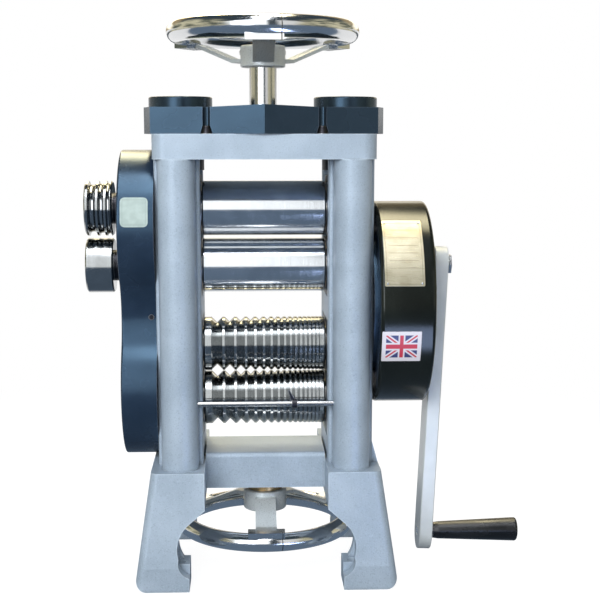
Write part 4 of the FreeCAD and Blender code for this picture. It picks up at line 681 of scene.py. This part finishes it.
def wrapped_plate(name, radius, axis_z, x_range, z_range, corner, thickness, material):
    """Thin plate on the front of a case that is round about an axis along X."""
    low, high = (radius * math.asin((z - axis_z) / radius) for z in z_range)
    mesh = bmesh.new()
    outline = rounded_rectangle(x_range, (low, high), corner)
    mesh.faces.new([mesh.verts.new((x, s, 0)) for x, s in outline])
    for strip in range(1, PLATE_STRIPS):
        cut = low + (high - low) * strip / PLATE_STRIPS
        bmesh.ops.bisect_plane(mesh, geom=mesh.verts[:] + mesh.edges[:] + mesh.faces[:],
                               plane_co=(0, cut, 0), plane_no=(0, 1, 0))
    raised = bmesh.ops.extrude_face_region(mesh, geom=mesh.faces[:])
    for item in raised["geom"]:
        if isinstance(item, bmesh.types.BMVert):
            item.co.z = thickness
    for vert in mesh.verts:
        reach, angle = radius + vert.co.z, vert.co.y / radius
        vert.co = (vert.co.x, -reach * math.cos(angle), axis_z + reach * math.sin(angle))
    piece = new_object(name, mesh, material, "frame")
    bevel = piece.modifiers.new("edge", "BEVEL")
    bevel.width = thickness * PLATE_BEVEL
    bevel.segments = PLATE_BEVEL_SEGMENTS
    bevel.limit_method = "ANGLE"
    bevel.angle_limit = PLATE_BEVEL_ANGLE


def dome(name, place, outward, radius, material, body):
    """Low domed head that stands on place, its axis along outward."""
    turn = Vector(outward).to_track_quat("Z", "Y").to_matrix()
    mesh = bmesh.new()

    def vertex(across, up, side):
        angle = 2 * math.pi * side / DOME_SIDES
        spot = Vector((across * math.cos(angle), across * math.sin(angle), up)) * radius
        return mesh.verts.new(turn @ spot + Vector(place))

    rings = [[vertex(across, up, side) for side in range(DOME_SIDES)]
             for across, up in DOME_RINGS]
    top = vertex(0, DOME_HEIGHT, 0)
    mesh.faces.new(rings[0][::-1])
    for side in range(DOME_SIDES):
        for lower, upper in zip(rings, rings[1:]):
            mesh.faces.new((lower[side - 1], lower[side], upper[side], upper[side - 1]))
        mesh.faces.new((rings[-1][side - 1], rings[-1][side], top))
    piece = new_object(name, mesh, material, body)
    for face in piece.data.polygons:
        face.use_smooth = True


def add_plates():
    """The label on the cover, and the brass plate and the flag on the drum."""
    cover_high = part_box("left_gear_cover")[1].z
    drum_low, drum_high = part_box("gearbox_drum")
    drum_z = (drum_low.z + drum_high.z) / 2
    drum_radius = (drum_high.z - drum_low.z) / 2
    wrapped_plate("blank_side_label", COVER_LOBE_RADIUS, cover_high - COVER_LOBE_RADIUS,
                  LABEL_X, LABEL_Z, LABEL_CORNER, LABEL_THICKNESS,
                  blank_label_finish(LABEL_X, LABEL_Z))
    wrapped_plate("brass_information_plate", drum_radius, drum_z,
                  BRASS_X, BRASS_Z, BRASS_CORNER, BRASS_THICKNESS,
                  brass_plate_finish(BRASS_X, BRASS_Z))
    wrapped_plate("flag_sticker", drum_radius, drum_z,
                  FLAG_X, FLAG_Z, FLAG_CORNER, FLAG_THICKNESS,
                  flag_finish(FLAG_X, FLAG_Z, FLAG_MARGIN))
    rivet_metal = bright_rod("rivet_metal", BRIGHT_BAR)
    for side, x in (("left", BRASS_X[0] + RIVET_INSET), ("right", BRASS_X[1] - RIVET_INSET)):
        for level, z in (("low", BRASS_Z[0] + RIVET_INSET), ("high", BRASS_Z[1] - RIVET_INSET)):
            rise = (z - drum_z) / drum_radius
            outward = Vector((0, -math.sqrt(1 - rise * rise), rise))
            place = Vector((x, 0, drum_z)) + outward * (drum_radius + BRASS_THICKNESS)
            dome(f"plate_rivet_{level}_{side}", place, outward, RIVET_RADIUS, rivet_metal, "frame")


# Nuts on the handwheels

HUB_RADIUS = 24.5 * MM
HUB_NUT_RADIUS = 5.5 * MM
HUB_NUT_SINK = 0.8 * MM
HUB_NUT_ANGLES = (30, 150, 270)
HUB_NUT_LEVELS = (("top_wheel", 571 * MM), ("bottom_wheel", 67 * MM))


def add_hub_nuts():
    """Domed nuts that hold the spokes to the hubs of both handwheels."""
    plating = bright_rod("nut_plating", BRIGHT_BAR)
    for body, level in HUB_NUT_LEVELS:
        for number, degrees in enumerate(HUB_NUT_ANGLES, 1):
            angle = math.radians(degrees)
            outward = Vector((math.cos(angle), math.sin(angle), 0))
            place = outward * (HUB_RADIUS - HUB_NUT_SINK) + Vector((0, 0, level))
            dome(f"{body}_hub_nut_{number}", place, outward, HUB_NUT_RADIUS, plating, body)


# Floor: how far from the mill it turns plain white, and what polished faces see of it, which
# is a grey bench with a bright patch in front of the drum and white behind

FLOOR_HALF = 6.0
FLOOR_TONES = ((0.16, 0.165, 0.17, 1.0), (0.18, 0.185, 0.19, 1.0))
FLOOR_GRAIN = 3 * MM
FLOOR_GLOW = 0.93
FLOOR_BOUNCE = 0.03
PLAIN_WHITE_EDGE = (0.45, 1.1)
BENCH_TONE = tone(103, 120, 140)
PATCH_LIGHT = (4.2, 5.3, 8.5, 1.0)
PATCH_X_EDGES = ((0.12, 0.16), (0.34, 0.30))
PATCH_Y_EDGES = ((-0.88, -0.78), (-0.28, -0.38))
REAR_EDGE = (0.25, 0.4)


def floor_material():
    """White sheet that keeps the mill's shadow; polished faces see the bench in its place."""
    sheet = Finish("white_sheet")
    x, y, _ = sheet.axes()
    colour = sheet.blend(sheet.noise(FLOOR_GRAIN), *FLOOR_TONES)
    paper = sheet.node("BsdfDiffuse", {"Color": colour}).outputs[0]
    near = sheet.added(paper, sheet.light("Emission", WHITE, FLOOR_GLOW))
    far = sheet.light("Emission", WHITE, 1.0)
    shown = sheet.mixed(sheet.step(sheet.length(x, y), *PLAIN_WHITE_EDGE), near, far)
    plain = sheet.added(paper, sheet.light("Emission", WHITE, FLOOR_BOUNCE))
    patch = sheet.product(sheet.band(y, *PATCH_Y_EDGES), sheet.band(x, *PATCH_X_EDGES))
    mirrored = sheet.coats(BENCH_TONE, (patch, PATCH_LIGHT),
                           (sheet.step(y, *REAR_EDGE), WHITE))
    bench = sheet.light("Emission", mirrored, 1.0)
    rays = sheet.node("LightPath").outputs
    surface = sheet.mixed(rays["Is Glossy Ray"], plain, bench)
    return sheet.close(sheet.mixed(rays["Is Camera Ray"], surface, shown))


def add_floor():
    mesh = bmesh.new()
    corners = ((-1, -1), (1, -1), (1, 1), (-1, 1))
    mesh.faces.new([mesh.verts.new((x * FLOOR_HALF, y * FLOOR_HALF, 0)) for x, y in corners])
    data = bpy.data.meshes.new("floor")
    mesh.to_mesh(data)
    mesh.free()
    data.materials.append(floor_material())
    floor = bpy.data.objects.new("floor", data)
    bpy.context.scene.collection.objects.link(floor)


# The room that polished faces see. Elevation is in degrees: 0 is level in front, 90 is
# overhead and 180 is level behind. Turn is in degrees to the right of the front. Across
# is the sideways part of the direction, from -1 on the left to 1 on the right.

ROOM_TONE = tone(58, 70, 78)
PANEL_ELEVATION = ((-18, -12), (49, 43))
WINDOW_LIGHT = (1.6, 1.64, 1.66, 1.0)
WINDOW_TURN = (5.2, 4.0)
LEFT_PANEL_LIGHT = (5.0, 5.2, 5.6, 1.0)
LEFT_PANEL_TURN = ((-11, -14), (-40, -34))
RIGHT_PANEL_LIGHT = (0.9, 0.9, 0.9, 1.0)
RIGHT_PANEL_TURN = (15, 20)
CEILING_LIGHT = (11.0, 11.2, 11.6, 1.0)
CEILING_ELEVATION = ((40, 59), (92, 86))
CEILING_ACROSS = ((0.08, 0.03), (-0.12, -0.106))
BEHIND_TONE = (0.42, 0.33, 0.19, 1.0)
BEHIND_ELEVATION = (138, 148)
CREAM_LIGHT = (1.7, 1.55, 1.25, 1.0)
CREAM_ELEVATION = ((158, 161), (173, 170))
WARM_LIGHTS = ((13.0, 11.0, 6.6, 1.0), (17.0, 15.0, 10.0, 1.0))
WARM_LIGHT_CHANGE = (0.0, 0.05)
WARM_SLANT = 125.0
WARM_ELEVATION = ((106, 118), (150, 122))
WARM_SIDE = (0.22, 0.16)
WALL_TONES = (tone(92, 98, 88), tone(222, 215, 182))
WALL_LUMPS = 0.28
WALL_STRETCH = (1.0, 1.0, 0.5)
WALL_CONTRAST = (0.4, 0.6)
WALL_SIDE = (0.5, 0.75)
HORIZON_ELEVATION = (174, 178)
FILL_COLOUR = (0.97, 0.99, 1.0, 1.0)
FILL_STRENGTH = 0.42


def room_colour(sky):
    """What a polished face sees in each direction."""
    across, depth, height = sky.axes()
    front = sky.product(depth, -1.0)
    elevation = sky.math("DEGREES", sky.math("ARCTAN2", height, front))
    turn = sky.math("DEGREES", sky.math("ARCTAN2", across, front))
    side = sky.math("ABSOLUTE", across)
    level = sky.band(elevation, *PANEL_ELEVATION)
    window = sky.product(level, sky.step(turn, *WINDOW_TURN))
    left_panel = sky.product(level, sky.band(turn, *LEFT_PANEL_TURN))
    right_panel = sky.product(level, sky.step(turn, *RIGHT_PANEL_TURN))
    ceiling = sky.product(sky.band(elevation, *CEILING_ELEVATION),
                          sky.band(across, *CEILING_ACROSS))
    slanted = sky.total(elevation, sky.product(across, WARM_SLANT))
    warm = sky.product(sky.band(slanted, *WARM_ELEVATION), sky.step(side, *WARM_SIDE))
    warm_light = sky.blend(sky.step(across, *WARM_LIGHT_CHANGE), *WARM_LIGHTS)
    lumps = sky.noise(WALL_LUMPS, stretch=WALL_STRETCH)
    wall = sky.blend(sky.step(lumps, *WALL_CONTRAST), *WALL_TONES)
    return sky.coats(ROOM_TONE,
                     (window, WINDOW_LIGHT),
                     (left_panel, LEFT_PANEL_LIGHT),
                     (right_panel, RIGHT_PANEL_LIGHT),
                     (ceiling, CEILING_LIGHT),
                     (sky.step(elevation, *BEHIND_ELEVATION), BEHIND_TONE),
                     (sky.band(elevation, *CREAM_ELEVATION), CREAM_LIGHT),
                     (warm, warm_light),
                     (sky.step(side, *WALL_SIDE), wall),
                     (sky.step(elevation, *HORIZON_ELEVATION), WHITE))


def add_world():
    """White behind the mill, the room for reflections, and an even fill for the rest."""
    world = bpy.data.worlds.new("studio")
    world.use_nodes = True
    bpy.context.scene.world = world
    sky = Shading(world.node_tree, "Generated")
    room = sky.light("Background", room_colour(sky), 1.0)
    fill = sky.light("Background", FILL_COLOUR, FILL_STRENGTH)
    white = sky.light("Background", WHITE, 1.0)
    rays = sky.node("LightPath").outputs
    direct = sky.math("MAXIMUM", rays["Is Camera Ray"], rays["Is Transmission Ray"])
    shown = sky.mixed(rays["Is Glossy Ray"], fill, room)
    sky.node("OutputWorld", {"Surface": sky.mixed(direct, shown, white)})


# Lamps: name, place, width and height, watts, colour

LAMP_AIM = (0, 0, 0.32)
SOFTBOXES = (
    ("front_softbox", (-0.5, -1.55, 0.95), (1.1, 0.9), 29.0, (0.97, 0.99, 1.0)),
    ("right_fill", (1.9, -0.7, 0.9), (0.8, 1.4), 1.2, (1.0, 0.98, 0.94)),
    ("rear_softbox", (0.1, 1.2, 1.7), (1.6, 0.8), 22.0, (1.0, 0.92, 0.80)),
)


def add_lights():
    for name, place, size, watts, colour in SOFTBOXES:
        data = bpy.data.lights.new(name, "AREA")
        data.shape = "RECTANGLE"
        data.size, data.size_y = size
        data.energy = watts
        data.color = colour
        lamp = bpy.data.objects.new(name, data)
        lamp.location = place
        lamp.rotation_mode = "QUATERNION"
        lamp.rotation_quaternion = (Vector(LAMP_AIM) - Vector(place)).to_track_quat("-Z", "Y")
        lamp.visible_camera = False
        lamp.visible_glossy = False
        bpy.context.scene.collection.objects.link(lamp)


# Camera, as the photograph was taken

CAMERA_PLACE = (-0.0225, -1.4151, 0.4785)
CAMERA_AIM = (0.0437, 0.9842, -0.1718)
CAMERA_LENS = 76.2
CAMERA_SENSOR = 36.0
CAMERA_SHIFT = 0.1


def add_camera():
    data = bpy.data.cameras.new("camera")
    data.lens = CAMERA_LENS
    data.sensor_width = CAMERA_SENSOR
    data.shift_y = CAMERA_SHIFT
    camera = bpy.data.objects.new("camera", data)
    camera.location = CAMERA_PLACE
    camera.rotation_mode = "QUATERNION"
    camera.rotation_quaternion = Vector(CAMERA_AIM).to_track_quat("-Z", "Y")
    bpy.context.scene.collection.objects.link(camera)
    bpy.context.scene.camera = camera


dress_cad_nodes()
add_plates()
add_hub_nuts()
add_floor()
add_world()
add_lights()
add_camera()
bpy.context.scene.view_settings.view_transform = "Standard"
